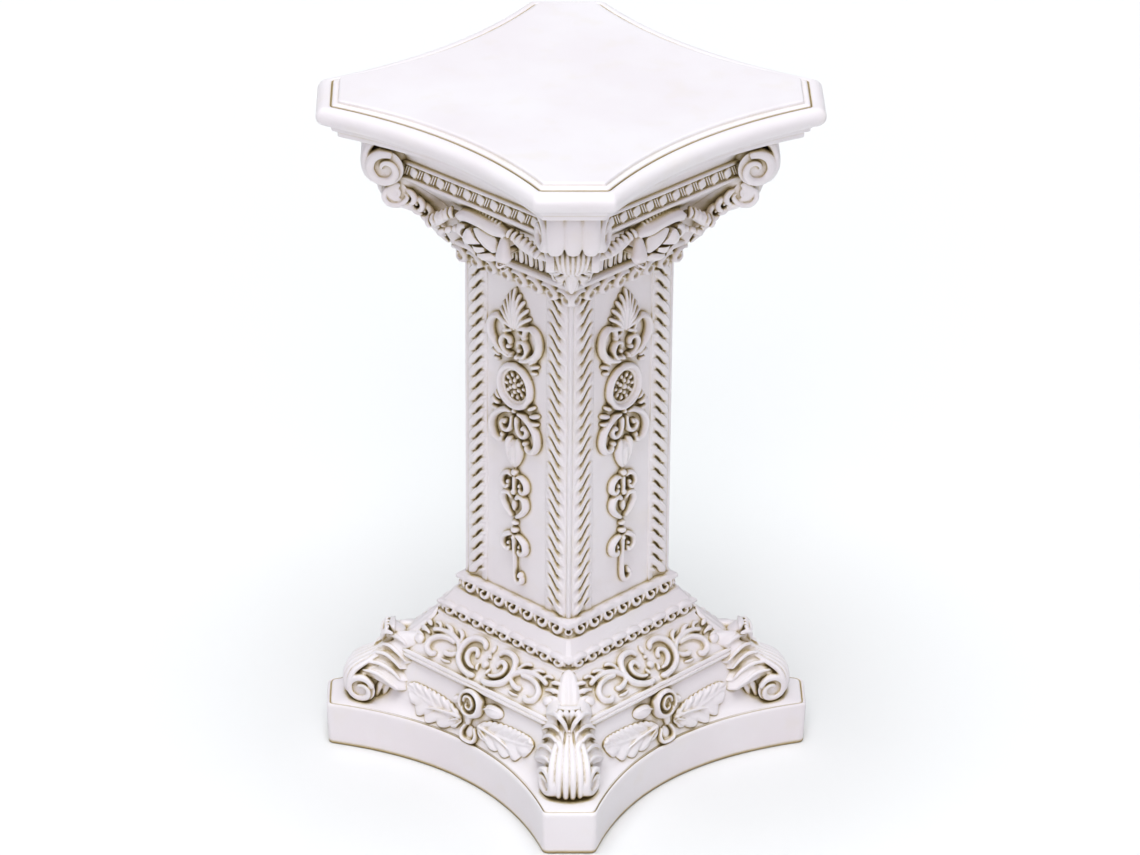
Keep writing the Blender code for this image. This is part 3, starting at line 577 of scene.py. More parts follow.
def base():
    """Ledge, scroll panel, the two carved bands and the plain slope, for one side."""
    clay = Clay()
    wedge(clay, [(98, 78, 3), (108, 81.5, 3), (110.6, 83.4, 2.4), (112.3, 84.6, 2), (113, 86.2, 2), (112.6, 87.4, 2),
                 (111.2, 88.3, 2), (112.3, 89.2, 2), (111.6, 90.9, 2), (110.2, 91.6, 2), (109.2, 91.2, 2),
                 (108.3, 90.8, 3), (107.6, 92.2, 12), (81.6, 117.9, 12), (80.9, 118.8, 9), (80.9, 119.7, 7),
                 (79.6, 120.3, 5), (76.4, 120.9, 4), (74.4, 128.6, 4), (76.6, 129.4, 4.5), (76.5, 130.4, 5),
                 (75.6, 130.3, 5), (75.2, 130.9, 5), (69.4, 139.8, 4), (69, 140.6, 4), (68.9, 141.2, 4),
                 (65.6, 141.8, 4), (61.4, 154.2, 3), (64.4, 154.9, 3), (64, 156.2, 3), (62.4, 156.9, 3), (60, 157.4, 3),
                 (52, 158.2, 3)])
    # The upper band, then the lower one
    for band, end, v, half, crest, count, pitch, tall in (
            (sloping(66.8, 141.4, 61.8, 155.2), 71, 3.4, 3.6, 4.2, 7, 17.1, 13.8),
            (sloping(77.2, 120.6, 74.6, 129.8), 83, 2.4, 2.6, 3.4, 9, 16.1, 9.9)):
        strand(clay, band, [(-end, v), (0, v), (end, v)], half, crest, tips=(0, 0))
        for index in range(count):
            leaf_and_curl(clay, band, pitch * (index - count // 2), tall)
    for hand in (-1, 1):
        # Ring and hood on the upper corner, arch and hood on the lower one
        place = at_corner(62.6, 146.4, 0.35, hand)
        turn = np.linspace(0, 2 * math.pi, 20)
        strand(clay, place, np.stack([2.5 * np.cos(turn), 2.5 * np.sin(turn)], 1), 1.2, 3.4, tips=(0, 0), sink=3)
        strand(clay, place, [(-8, 4.4), (0, 6.2), (8, 4.4)], [2.6, 3.2, 2.6], [2.6, 3.8, 2.6], sink=3)
        place = at_corner(73.6, 123, 0.25, hand)
        arch = np.linspace(-0.4, math.pi + 0.4, 12)
        strand(clay, place, np.stack([3 * np.cos(arch), 3 * np.sin(arch)], 1), 1.1, 3, tips=(0, 0), sink=3)
        strand(clay, place, [(-9, 3.4), (0, 4.6), (9, 3.4)], [2, 2.4, 2], [2.2, 3.2, 2.2], sink=3)
    scroll_relief(clay, sloping(107.9, 91.8, 80.9, 118.6))
    return clay


def blade(clay, hand, drop=0):
    """A broad, flat leaf on the lower panel: scalloped above, lobed below, veined from its midrib."""
    marks = [0, 0.08, 0.2, 0.35, 0.52, 0.7, 0.86, 0.96, 1]
    along_u = [9, 13, 21, 32, 44, 56.5, 67, 73, 75.2]
    top = [55, 60.5, 65, 66.9, 67.9, 68.2, 67.8, 65.6, 62.8]
    rib = [54.4, 54.4, 54.6, 55, 56, 57.8, 60, 61.6, 62.2]
    low = [53, 47, 42.8, 41.8, 41.9, 44, 50.6, 56.6, 61.4]
    s = np.linspace(0, 1, 120)[:, None]
    t = np.sin(np.linspace(-math.pi / 2, math.pi / 2, 45))[None]
    middle, over, under = (np.interp(s, marks, values) for values in (rib, top, low))
    teeth = np.abs(np.sin(math.pi * 13 * s)) ** 0.7
    lobes = np.abs(np.sin(math.pi * (5 * s + 0.1))) ** 0.7
    reach = np.where(t > 0, (over - middle) * (0.9 + 0.14 * teeth), (middle - under) * (0.82 + 0.22 * lobes))
    sweep = np.abs(t)
    u = np.interp(s, marks, along_u) + 3 * sweep ** 2 * np.sin(math.pi * s)
    v = middle + t * reach - drop
    swell = np.where(t > 0, np.abs(np.sin(math.pi * (6.5 * s - 0.9 * sweep))) ** 0.6,
                     np.abs(np.sin(math.pi * (5 * s + 0.1 - 0.6 * (sweep - 1)))) ** 0.6)
    edge = np.sqrt(np.clip(1 - sweep ** 6, 0, 1)) * np.clip(np.sin(math.pi * np.clip(s, 0.03, 0.97)) * 6, 0, 1) ** 0.5
    h = edge * (1.6 + 2.2 * swell * np.clip(1.6 * sweep, 0, 1) + 2 * np.exp(-(t / 0.09) ** 2) * (1 - 0.6 * s))
    top_skin = np.stack([hand * (u + 0 * v), v, h + 0 * u], -1)
    solid(clay, lower_panel, top_skin if hand > 0 else top_skin[::-1], -3)


def leaf_spray():
    """A rosebud between two broad leaves, on one side of the lower panel."""
    clay = Clay()

    def stroke(path, half, crest, sink=3, **more):
        strand(clay, lower_panel, path, half, crest, sink=sink, **more)

    blade(clay, 1)
    blade(clay, -1, 1.6)
    # Veins that stand out near the stem
    for hand in (-1, 1):
        stroke([(hand * 10, 56), (hand * 24, 55), (hand * 40, 52.6), (hand * 53, 48.6)], [2, 1.8, 1.5, 0.9],
               [5.2, 5, 4.6, 3.2])
        stroke([(hand * 12, 54), (hand * 20, 50), (hand * 25, 45)], [1.6, 1.5, 0.9], [4.6, 4.4, 3])
    # Bud: wrapped petals round a deep eye, on a short stem
    stroke([(-1.5, 52), (-2, 57), (-1.5, 63)], [3.6, 3.4, 5], [4.6, 4.6, 6])
    bead(clay, lower_panel, -0.8, 71.8, 11.6, 5)
    stroke([(-9, 63.6), (-12, 70.5), (-9.4, 78.4), (-1.6, 82.2), (6.6, 80.2), (10.8, 73.6), (8.8, 65.8), (1.6, 61.8),
            (-5.8, 63.4), (-8.2, 68.4)], [2, 2.5, 2.6, 2.6, 2.6, 2.7, 2.7, 2.6, 2.2, 1.7],
           [6.4, 8, 8.8, 9.2, 9.4, 9.4, 9, 8.4, 8.2, 7.6], step=1)
    stroke([(-6.8, 70.6), (-5.2, 76.4), (1, 77.6), (4.8, 72.8), (2.2, 67.8), (-2.4, 68.4), (-3, 72.2)],
           [1.5, 1.8, 1.9, 1.9, 1.7, 1.4, 1.2], [8.2, 9.4, 10, 10, 9.4, 8.8, 8.6], step=0.8)
    # Round leaf, small leaf and the hanging cup
    bead(clay, lower_panel, 24, 73.2, 6.3, 5.6, stretch=1.8, lean=0.12)
    stroke([(14, 72), (22, 75.8), (32, 75.6)], [0.9, 1.2, 0.8], [5.4, 6.6, 4.6])
    bead(clay, lower_panel, -18.4, 69, 3.6, 4.4, stretch=1.4, lean=0.5)
    stroke([(-3, 53), (-6.2, 46.6), (-4.4, 41.4), (2, 39.8), (8.6, 41.4), (9.8, 47), (6.6, 53)],
           [1.7, 1.8, 1.8, 1.9, 1.8, 1.8, 1.7], [4.4, 5, 5.4, 5.6, 5.4, 5, 4.6])
    stroke([(2, 53), (2, 46), (2, 41)], [4, 5.6, 5.2], [2.6, 2.4, 2.2])
    return clay


# Slab


SLAB_HALF, SLAB_CLIP, SLAB_DIP = 149.3, 48, 18.8


def slab():
    """The slab: hollow, fillets, the big roll, the groove, the narrow tread and the flat top."""
    def row(out, z, soft=2):
        return plan(SLAB_HALF + out, SLAB_CLIP + OCTAGON * out, SLAB_DIP, soft), z

    rows = []
    for share, z in ((-0.05, 543), (0, 546), (0.02, 548.6), (0.06, 551.6), (0.13, 554.8), (0.17, 555.6),
                     (0.19, 555.4), (0.24, 556.8), (0.36, 559.8), (0.52, 562.4), (0.7, 564.4), (0.82, 565.3),
                     (0.86, 565.1), (0.89, 565.7), (1, 567.2)):
        half = HOLLOW_HALF + (SLAB_HALF - 8 - HOLLOW_HALF) * share
        rows.append((plan(half, 4 + 38 * share, (SLAB_DIP - 1) * share, 1.5), z))
    # Fillets under the roll, as (distance out, height)
    rows += [row(*at) for at in ((-6, 567.7), (-1, 567.8), (1, 567.9), (1.6, 568.4), (1.8, 569.6), (1.8, 572),
                                 (1.9, 573.3), (2.6, 573.8), (5.4, 573.9), (6.4, 574.3), (6.8, 575.2), (7, 578.4),
                                 (7.6, 579.4))]
    roll = 8.2
    for angle in np.radians(np.linspace(-78, 112, 22)):
        rows.append(row(11 + roll * math.cos(angle), Z_ROLL + roll * math.sin(angle), 3))
    # Groove and narrow tread behind the roll
    rows += [row(*at) for at in ((7.4, 594.9), (7, 594.4), (6.6, 594.5), (6.3, 595.2), (6, 596.2), (5.4, 596.7),
                                 (4.4, 596.9), (2.8, 597), (1.9, 597), (1.4, 597.2), (1.1, 597.9), (0.9, 598.8),
                                 (0.6, 599.5), (0, 599.85), (-0.9, Z_TOP), (-3, Z_TOP), (-9, Z_TOP))]
    flat = rows[-1][0]
    rows += [(flat * share, Z_TOP) for share in (0.8, 0.5, 0.2)]
    return loft(rows)


# Neck, bell and frieze


BELL_HEIGHTS = [470, 474, 480, 487, 495, 504, 513, 521, 526.5, 529]


def bell_depth(z):
    """Distance of the bell's face from the axis plane at height z."""
    return np.interp(z, BELL_HEIGHTS, [67, 66, 66.4, 68.6, 73.4, 81, 90.4, 99.6, 106, 108.8])


def on_bell(u, v, h):
    lean = 0.6
    return np.stack([u + 0 * v, -(bell_depth(v) + h * math.cos(lean)), v - h * math.sin(lean) + 0 * u], -1)


def capital():
    """Neck band, bell and frieze, for one side."""
    clay = Clay()
    profile = [(52, 445.5, 3), (58, 447, 3), (61.6, 448.4, 2.6), (63, 449.6, 2.6), (63.6, 451.2, 2.6), (63.8, 452, 2.6),
               (65.6, 461.8, 2.6), (67.6, 462.4, 2.6), (69.9, 463.3, 2.6), (71, 465, 2.6), (70.9, 467, 2.6),
               (69.6, 468.6, 2.6), (67.2, 469.6, 2.6), (65, 471, 2.6)]
    profile += [(bell_depth(z), z, 3) for z in BELL_HEIGHTS[1:]]
    profile += [(110.4, 529, 2.4), (111.7, 529.7, 2.4), (111.8, 531.4, 2.4), (111, 532.3, 2.4),
                (FRIEZE_HALF, 532.7, 2.4), (FRIEZE_HALF, 542.9, 2.4), (110.7, 543.2, 2.4), (111.5, 543.9, 2.4),
                (111.6, 545.2, 2.4), (110.6, 546.2, 2.4), (108, 547, 2.4), (90, 549.5, 2.4)]
    wedge(clay, profile)
    neck = sloping(63.6, 450.6, 65.6, 463.4)
    for index in range(8):
        middle = 17.3 * (index - 3.5)
        path = [(-8.9, 4.4), (-5, 1.9), (0.6, 1.2), (5.4, 3.4), (7.2, 7.8), (5, 11.8), (0.8, 12.8), (-2.5, 10.4),
                (-2, 7.2), (0.8, 6.6)]
        bead(clay, neck, middle + 1.4, 7.6, 6, 3)
        strand(clay, neck, [(middle + u, v) for u, v in path], [2, 2.5, 2.9, 3, 2.8, 2.5, 2.2, 1.8, 1.5, 1.3],
               [4.4, 5.6, 6.6, 7, 6.6, 6.2, 5.8, 5.2, 4.6, 4.2], step=0.8, sink=3)
    for index in range(-5, 6):
        u = 11.2 * index
        strand(clay, on_bell, [(u, 471), (u, 480), (u, 490)], [3, 3.1, 3], [3, 3.2, 3], shape=flat_topped)
        for fine in (u + 4.7, u + 6.6):
            strand(clay, on_bell, [(fine, 471), (fine, 480), (fine, 490)], 0.6, [2.6, 2.8, 2.4])
    strand(clay, on_bell, [(-56, 491.5), (0, 491.5), (56, 491.5)], 2.6, 3.2)
    frieze = upright(FRIEZE_HALF)
    count, pitch, lean = 14, 15.3, 1.5
    for index in range(count):
        u = pitch * (index - (count - 1) / 2) - 1.6
        strand(clay, frieze, [(u - lean, 533.3), (u + lean, 542.4)], 4.6, 2.7,
               shape=lambda x: (1 - np.abs(x) ** 4) ** 0.6, tips=(0.5, 0.5))
        for offset in (6.3, 8.9):
            strand(clay, frieze, [(u + offset - 1.3 * lean, 533.2), (u + offset + 1.3 * lean, 542.5)], 0.85, 2.3,
                   tips=(0.4, 0.4))
    return clay


# Brackets at the corners


def corner_point(r, w, z):
    """A point at the front corner: r out along the diagonal, w across it."""
    r, w, z = np.broadcast_arrays(r, w, z)
    return np.stack([(r + w) / DIAGONAL, (w - r) / DIAGONAL, z], -1)


def limb(clay, path, wide, thick, out=(1, 0, 0), count=12, step=1, tips=(1, 1), power=2.2, ribs=0, groove=0,
         place=corner_point):
    """A tapering limb along path, in the coordinates of place.

    wide is its half width, thick its half thickness towards out, and power makes its section squarer.
    ribs cut that many grooves into its front.
    """
    line, marks = spline(path, step)
    tangent = unit(np.gradient(line, axis=0))
    out = np.array(out, float)
    outward = out[None] + 0 * tangent if out.ndim == 1 else np.stack([along(out[:, i], marks) for i in range(3)], 1)
    front = unit(outward - tangent * (tangent * outward).sum(1)[:, None])
    side = np.cross(tangent, front)
    wide, thick = along(wide, marks), along(thick, marks)
    ends = tapered(line, np.max(np.minimum(wide, thick)), tips)
    turn = np.linspace(0, 2 * math.pi, max(count, 8 * ribs + 8), endpoint=False)
    c, s = np.cos(turn), np.sin(turn)
    x = np.sign(c) * np.abs(c) ** (2 / power)
    y = np.sign(s) * np.abs(s) ** (2 / power)
    if ribs:
        y = np.where(y > 0, y - groove * (0.5 + 0.5 * np.cos(2 * math.pi * ribs * (x + 1) / 2)), y)
    rows = []
    for index in range(len(line)):
        point = (line[index] + np.outer(x, side[index]) * wide[index] * ends[index]
                 + np.outer(y, front[index]) * thick[index] * ends[index])
        rows.append(place(*point.T))
    clay.rings(rows)


def stem(clay, rows, back, round_front=0.35):
    """A solid across the diagonal from r = back, through rows of (z, front r, half width)."""
    rings = []
    for z, front, half in rows:
        curve = round_front * half
        turn = np.linspace(-math.pi / 2, math.pi / 2, 13)
        rings.append(corner_point([back, *(front - curve + curve * np.cos(turn)), back],
                                  [-half, *(half * np.sin(turn)), half], z))
    clay.rings(rings)


def flank(depth, cant=0, front=0):
    """The flank of a bracket: u is r, v is z. It lies at w = depth where r = front, and further out behind it."""
    return lambda u, v, h: corner_point(u, depth + h + cant * (front - u), v)


def disc(clay, middle, rows, cant=0, front=0):
    """A round boss on the flank, through rows of (w, radius)."""
    turn = np.linspace(0, 2 * math.pi, 40, endpoint=False)
    rings = []
    for w, size in rows:
        r = middle[0] + size * np.cos(turn)
        rings.append(corner_point(r, w + cant * (front - r), middle[1] + size * np.sin(turn)))
    clay.rings(rings)


def wound(clay, place, middle, rows, crest):
    """A flat band wound round middle, through rows of (angle in degrees, radius, half width)."""
    path = [(middle[0] + radius * math.cos(math.radians(angle)), middle[1] + radius * math.sin(math.radians(angle)))
            for angle, radius, _ in rows]
    strand(clay, place, path, [half for _, _, half in rows], crest, shape=flat_topped, tips=(0.3, 1), step=0.8,
           across=11, sink=3)


def console():
    """The scrolled console under a corner of the slab: the half towards +X, past its middle."""
    clay = Clay()
    stem(clay, [(461, 92, 3), (464, 97, 5), (476, 104, 6.6), (486, 110, 7.6), (494, 118, 8.6), (500, 126, 9),
                (506, 135, 11), (514, 141, 14), (524, 146, 17.5), (532, 157, 19.5), (545, 160.5, 20), (556, 158, 20),
                (566, 151, 19.5), (569, 148, 19)], 70)
    # Cup: three scalloped lobes
    for w in (-14, 0, 14):
        limb(clay, [(150, w, 567.5), (160, w, 562), (166.2, w, 552), (167.2, w, 541), (165, w, 533.6),
                    (161.6, w, 528.6), (157.6, w, 525.6)], [7.2, 7.3, 7.4, 7.4, 7, 5.7, 3],
             [3.6, 3.6, 3.6, 3.6, 3.6, 3.4, 3],
             out=[(0.4, 0, 1), (0.8, 0, 0.6), (1, 0, 0), (1, 0, 0), (1, 0, -0.3), (0.9, 0, -0.6), (0.8, 0, -0.8)],
             step=1.2, tips=(0, 1.2), power=2.5, count=22)
    # Fan of flutes under it
    for index in range(-5, 6):
        w = 4 * index
        back = 0.02 * w * w
        limb(clay, [(149 - back, w, 527), (153.5 - back, w, 519), (151.5 - back, 0.92 * w, 511.5),
                    (143.5 - back, 0.78 * w, 504), (133 - 0.8 * back, 0.62 * w, 498.5),
                    (124.5 - 0.6 * back, 0.5 * w, 495)], [1.95, 2.1, 2, 1.7, 1.45, 1.15],
             [4.4, 4.6, 4.4, 3.8, 3.2, 2.4], tips=(1, 0.6))
    for w in (-9.2, -4.6, 0, 4.6, 9.2):
        limb(clay, [(r - 0.1 * w * w, w, z) for r, z in ((127, 494.5), (123.5, 491), (119, 490))], [2.2, 2.5, 1.6],
             [2, 2.2, 1.4])
    limb(clay, [(117, 0, 490), (112, 0, 481), (106, 0, 472), (99, 0, 463)], [4, 5.6, 4.4, 1.4], [3, 3.6, 3, 1.4],
         ribs=2, groove=0.4, count=26)
    for hand in (-1, 1):
        limb(clay, [(115, hand * 5, 489), (108, hand * 8.6, 480), (101.5, hand * 9.4, 473)], [2, 3, 1.4], [2, 2.6, 1.4])
    # Big volute on the flank, flaring out of the cup
    middle, cant, front = (151.2, 540.6), 0.28, 167.5
    disc(clay, middle, [(6, 9), (13, 10.5), (15.6, 12.6), (17.8, 14.9), (19, 15.6), (19.4, 15.4), (19.5, 14)], cant,
         front)
    wound(clay, flank(19.2, cant, front), middle,
          [(118, 13.4, 3.2), (98, 12.8, 3.7), (70, 12.4, 3.9), (35, 12.3, 4.1), (-10, 12.3, 4.2), (-60, 12.2, 4),
           (-110, 11.2, 3.8), (-155, 9.7, 3.5), (-200, 7.8, 3.05), (-245, 5.9, 2.6), (-290, 4.3, 2.15), (-340, 3, 1.75),
           (-390, 1.9, 1.45)], [3.6, 4] + [4.2] * 11)
    limb(clay, [(155, 21.5, 566), (148, 23.5, 563.5), (138, 23, 563), (124, 20.5, 564.5)], [4.2, 4.4, 3.8, 3],
         [4.2, 4.4, 4, 3], out=(0, 0, 1), tips=(0, 1))
    # Small scroll under it
    middle = (143, 514.6)
    disc(clay, middle, [(4, 7), (12, 8.4), (15, 9.8), (17, 10.8), (17.9, 11), (18.1, 10)])
    wound(clay, flank(17.6), middle,
          [(-175, 11, 2), (-150, 9.8, 2.4), (-110, 9.4, 2.6), (-60, 9.2, 2.6), (-15, 9, 2.6), (30, 8.2, 2.5),
           (80, 6.7, 2.2), (130, 4.9, 1.8), (180, 3.2, 1.6), (235, 1.8, 1.4)], [3, 3.6] + [3.8] * 6 + [3.6, 3.4])
    # Husks down the flank: a lobe that turns over, a rib behind it and the scallop of the lower edge
    husk = (([(3.4, -2, 5.6), (-0.6, 1.6, 4.2), (-3.4, 2.4, -0.4), (-2, 1.6, -4.6), (1.4, 0.8, -5.2)],
             [1.6, 2.2, 2.4, 2.2, 1.4], [2.4, 3, 3.2, 2.8, 2], dict(out=(0.2, 1, 0), count=14)),
            ([(5.2, -2, 2.6), (1.8, 0.8, 1), (1.2, 0.4, -2)], [1.2, 1.6, 1.1], [2.2, 2.6, 1.8], dict(out=(0.2, 1, 0))),
            ([(4.6, -5, -4.4), (1.4, -1.6, -7.4), (-3.6, -1, -9.6)], [2, 3, 1.8], [2.4, 3, 1.8],
             dict(out=(0.5, 0.6, -0.5), ribs=1, groove=0.3, count=18)))
    for r, w, z, size in ((131, 17, 512.5, 1.1), (124, 15.4, 505.5, 1.08), (117.2, 13.8, 498.6, 1.02),
                          (110.8, 12.4, 491, 0.96), (105.2, 11.2, 482.6, 0.86)):
        for path, wide, thick, more in husk:
            limb(clay, [(r + a * size, w + b, z + c * size) for a, b, c in path], [size * x for x in wide], thick,
                 **more)
    return clay


# Rose on each side of the bell


def rose_point(u, v, h):
    """A point of the rose: u right, v up, h out of the bell."""
    u, v, h = np.broadcast_arrays(u, v, h)
    return np.stack([u - 12, -(84 + h), 499 + v], -1)


def petal(clay, path, wide, thick, out=(0, 0, 1), **more):
    limb(clay, path, wide, thick, out=out, place=rose_point, **more)


def sheet(clay, place, grid, base, step):
    """A solid under a smooth skin through grid, rows of (u, v, h), with walls down to h = base."""
    def evened(lines):
        spread = np.linspace(0, 1, max(len(line) for line in lines))
        return [np.stack([np.interp(spread, np.linspace(0, 1, len(line)), line[:, i]) for i in range(3)], 1)
                for line in lines]

    rows = evened([spline(row, step)[0] for row in grid])
    columns = evened([spline([line[index] for line in rows], step)[0] for index in range(len(rows[0]))])
    solid(clay, place, np.array(columns), base)


def rose():
    """The rose at the middle of a side, its hanging bud and the feathered leaves beside it."""
    clay = Clay()

    def skin(grid, base=-16):
        sheet(clay, rose_point, grid, base, 1.2)

    petal(clay, [(3, -17, -6), (3, -8, 2), (2, 2, 6), (3, 13, 8)], [10, 16, 18, 20], [8, 9, 9, 7], tips=(0.4, 0.4))
    # Hood: one long smooth petal over the top
    skin([[(-20.5, 8, 15), (-21.5, 10.5, 15.5), (-19.5, 14.5, 9)],
          [(-12.5, 9.6, 20.5), (-12.5, 15.5, 21), (-10.5, 21, 13)], [(-1.5, 12.5, 23), (-0.5, 18.5, 23), (2, 24.5, 14)],
          [(12, 12, 23), (13, 17.5, 22.5), (14.5, 22, 14)], [(25, 8.6, 21), (27, 14, 20.5), (28.5, 18.5, 13)],
          [(33, 7, 16), (36.5, 10.5, 16), (36, 14, 11)]], 2)
    # Serrated leaf behind the hood
    petal(clay, [(-6, 23.5, 8), (6, 25, 11.5), (18, 22.5, 11.5), (28, 18.5, 9), (37, 13, 6)], [2, 3.4, 3.6, 3, 1.6],
          [2.4, 3.2, 3.2, 2.8, 2], out=(0, 0.3, 1))
    for index in range(9):
        share = index / 8
        u, v = 2 + 26 * share, 25.2 - 7.6 * share ** 1.5
        petal(clay, [(u - 1.8, v - 4, 13), (u + 0.2, v, 15.5 - 1.5 * share), (u + 1.8, v + 2.8, 12.5 - 1.5 * share)],
              [1.1, 1.3, 0.9], [1.8, 2.2, 1.4])
    # Left petal, wrapped round a deep eye
    skin([[(-14.5, -10, 12.5), (-12, -8, 16), (-9.5, -6.8, 17)], [(-21, -5.5, 13), (-17, -4, 17.5), (-12.6, -3, 18.5)],
          [(-20.5, 1, 14.5), (-16, 1.2, 19), (-11.2, 1, 19.5)], [(-14, 6.5, 17), (-11, 5.4, 20), (-8.2, 3.6, 20.5)],
          [(-5.5, 8.4, 20), (-4.8, 7.2, 21.5), (-4.2, 5.6, 21.5)]])
    # Fold in front
    skin([[(-2.2, 5.4, 23), (0, 7, 24), (2.6, 6.4, 22.5)], [(-6.6, -1.6, 22), (0.2, -1, 25), (6.2, 1.6, 22.5)],
          [(-10, -9, 18), (0.4, -7, 22), (11.2, -4.4, 19.5)]])
    # Broad right petal and the one behind it
    skin([[(4.6, 8, 21), (9.5, 10.5, 20), (14, 11.5, 17.5)], [(8.4, 1.4, 21), (16, 4, 21), (23.5, 7, 17)],
          [(13.6, -5.6, 18.5), (20.5, -2.8, 19), (27, 1, 15)], [(19.6, -11, 14.5), (24, -9.2, 15), (27.5, -6.5, 12)]])
    petal(clay, [(27, 5, 10), (30, -2.5, 11.5), (29, -9.5, 10.5), (24.5, -16, 7)], [1.6, 2.4, 2.6, 1.6],
          [2.6, 3.4, 3.2, 2.4], out=(0.8, 0, 1), count=14)
    # Petals below, one row over the other
    skin([[(-1, -9.8, 17), (5.5, -8.6, 19.5), (12.6, -7.8, 17)], [(1, -14, 16.5), (6.5, -14, 18.5), (12.6, -12, 16)]])
    skin([[(-14, -11, 12.5), (-14, -14.5, 12.5), (-12.5, -18, 7)],
          [(-6, -11.5, 15.5), (-5, -16.5, 15.5), (-4, -20.5, 8)], [(1.2, -15, 15), (1.6, -19, 15), (2, -22.5, 7)]])
    skin([[(3, -16, 15), (3.6, -19.5, 15), (4, -23.5, 8)], [(11, -13.6, 17), (12.5, -18.5, 17), (13.5, -22.5, 9)],
          [(18.5, -11.5, 13.5), (21, -14, 13.5), (22.5, -17.5, 8)]])
    # Bud that hangs beside the rose
    petal(clay, [(32, 9.5, 10), (33.4, 3.5, 13.5), (34.8, -3, 16), (36, -9, 17), (36.8, -14.5, 15.5)],
          [2.2, 3.8, 5.6, 7.2, 6.4], [3, 4.2, 5.4, 6.4, 5.2], count=20)
    petal(clay, [(31.6, -12.6, 20.6), (36.4, -15.4, 23), (41.4, -12.2, 20.8)], [0.9, 1.3, 0.9], [1.2, 1.6, 1.2])
    petal(clay, [(32, -16.6, 17.6), (37, -19.4, 18.6), (41.6, -16, 17.6)], [0.9, 1.3, 0.9], [1.6, 2.2, 1.6])
    # Feathered leaf that runs to the console
    petal(clay, [(38, 12, 9), (48, 10.5, 13.5), (58, 8.4, 15), (69, 5.4, 14.5), (82, 1, 9)], [2.6, 4.6, 5.2, 4.6, 2.4],
          [3, 4.4, 4.8, 4.2, 2.6], out=(0, 0.3, 1), count=16)
    for index in range(7):
        share = index / 6
        u, v = 43 + 31 * share, 16.6 - 8.4 * share ** 1.3
        petal(clay, [(u - 3, v - 6.4, 17.4), (u - 0.4, v - 1.6, 17.4), (u + 1.6, v + 2.2, 13)], [1.6, 2.25, 1.5],
              [1.6, 2.4, 1.8], count=14)
    # Leaves towards the other console
    petal(clay, [(-22, 9, 9), (-31, 7, 12), (-40, 1, 13), (-49, -6.5, 10), (-58, -13, 5)], [2.4, 4.2, 5, 4.2, 2.2],
          [3, 4, 4.2, 3.6, 2.6], out=(0, 0.3, 1), count=16)
    for index in range(6):
        share = index / 5
        u, v = -27 - 27 * share, 12.6 - 17 * share ** 1.1
        petal(clay, [(u + 3.4, v - 6.5, 15), (u + 1.2, v - 1.8, 16), (u - 1, v + 2.2, 11.5)], [1.6, 2.4, 1.6],
              [1.8, 2.4, 1.8], count=14)
    for index in range(3):
        share = index / 2
        u, v = -26 - 17 * share, -5 - 8 * share
        petal(clay, [(u + 4.5, v + 3, 8), (u, v, 10.5), (u - 3, v - 4.5, 6)], [1.6, 3.2, 1.8], [2.2, 3.2, 2.2], ribs=1,
              groove=0.3, count=18)
    return clay


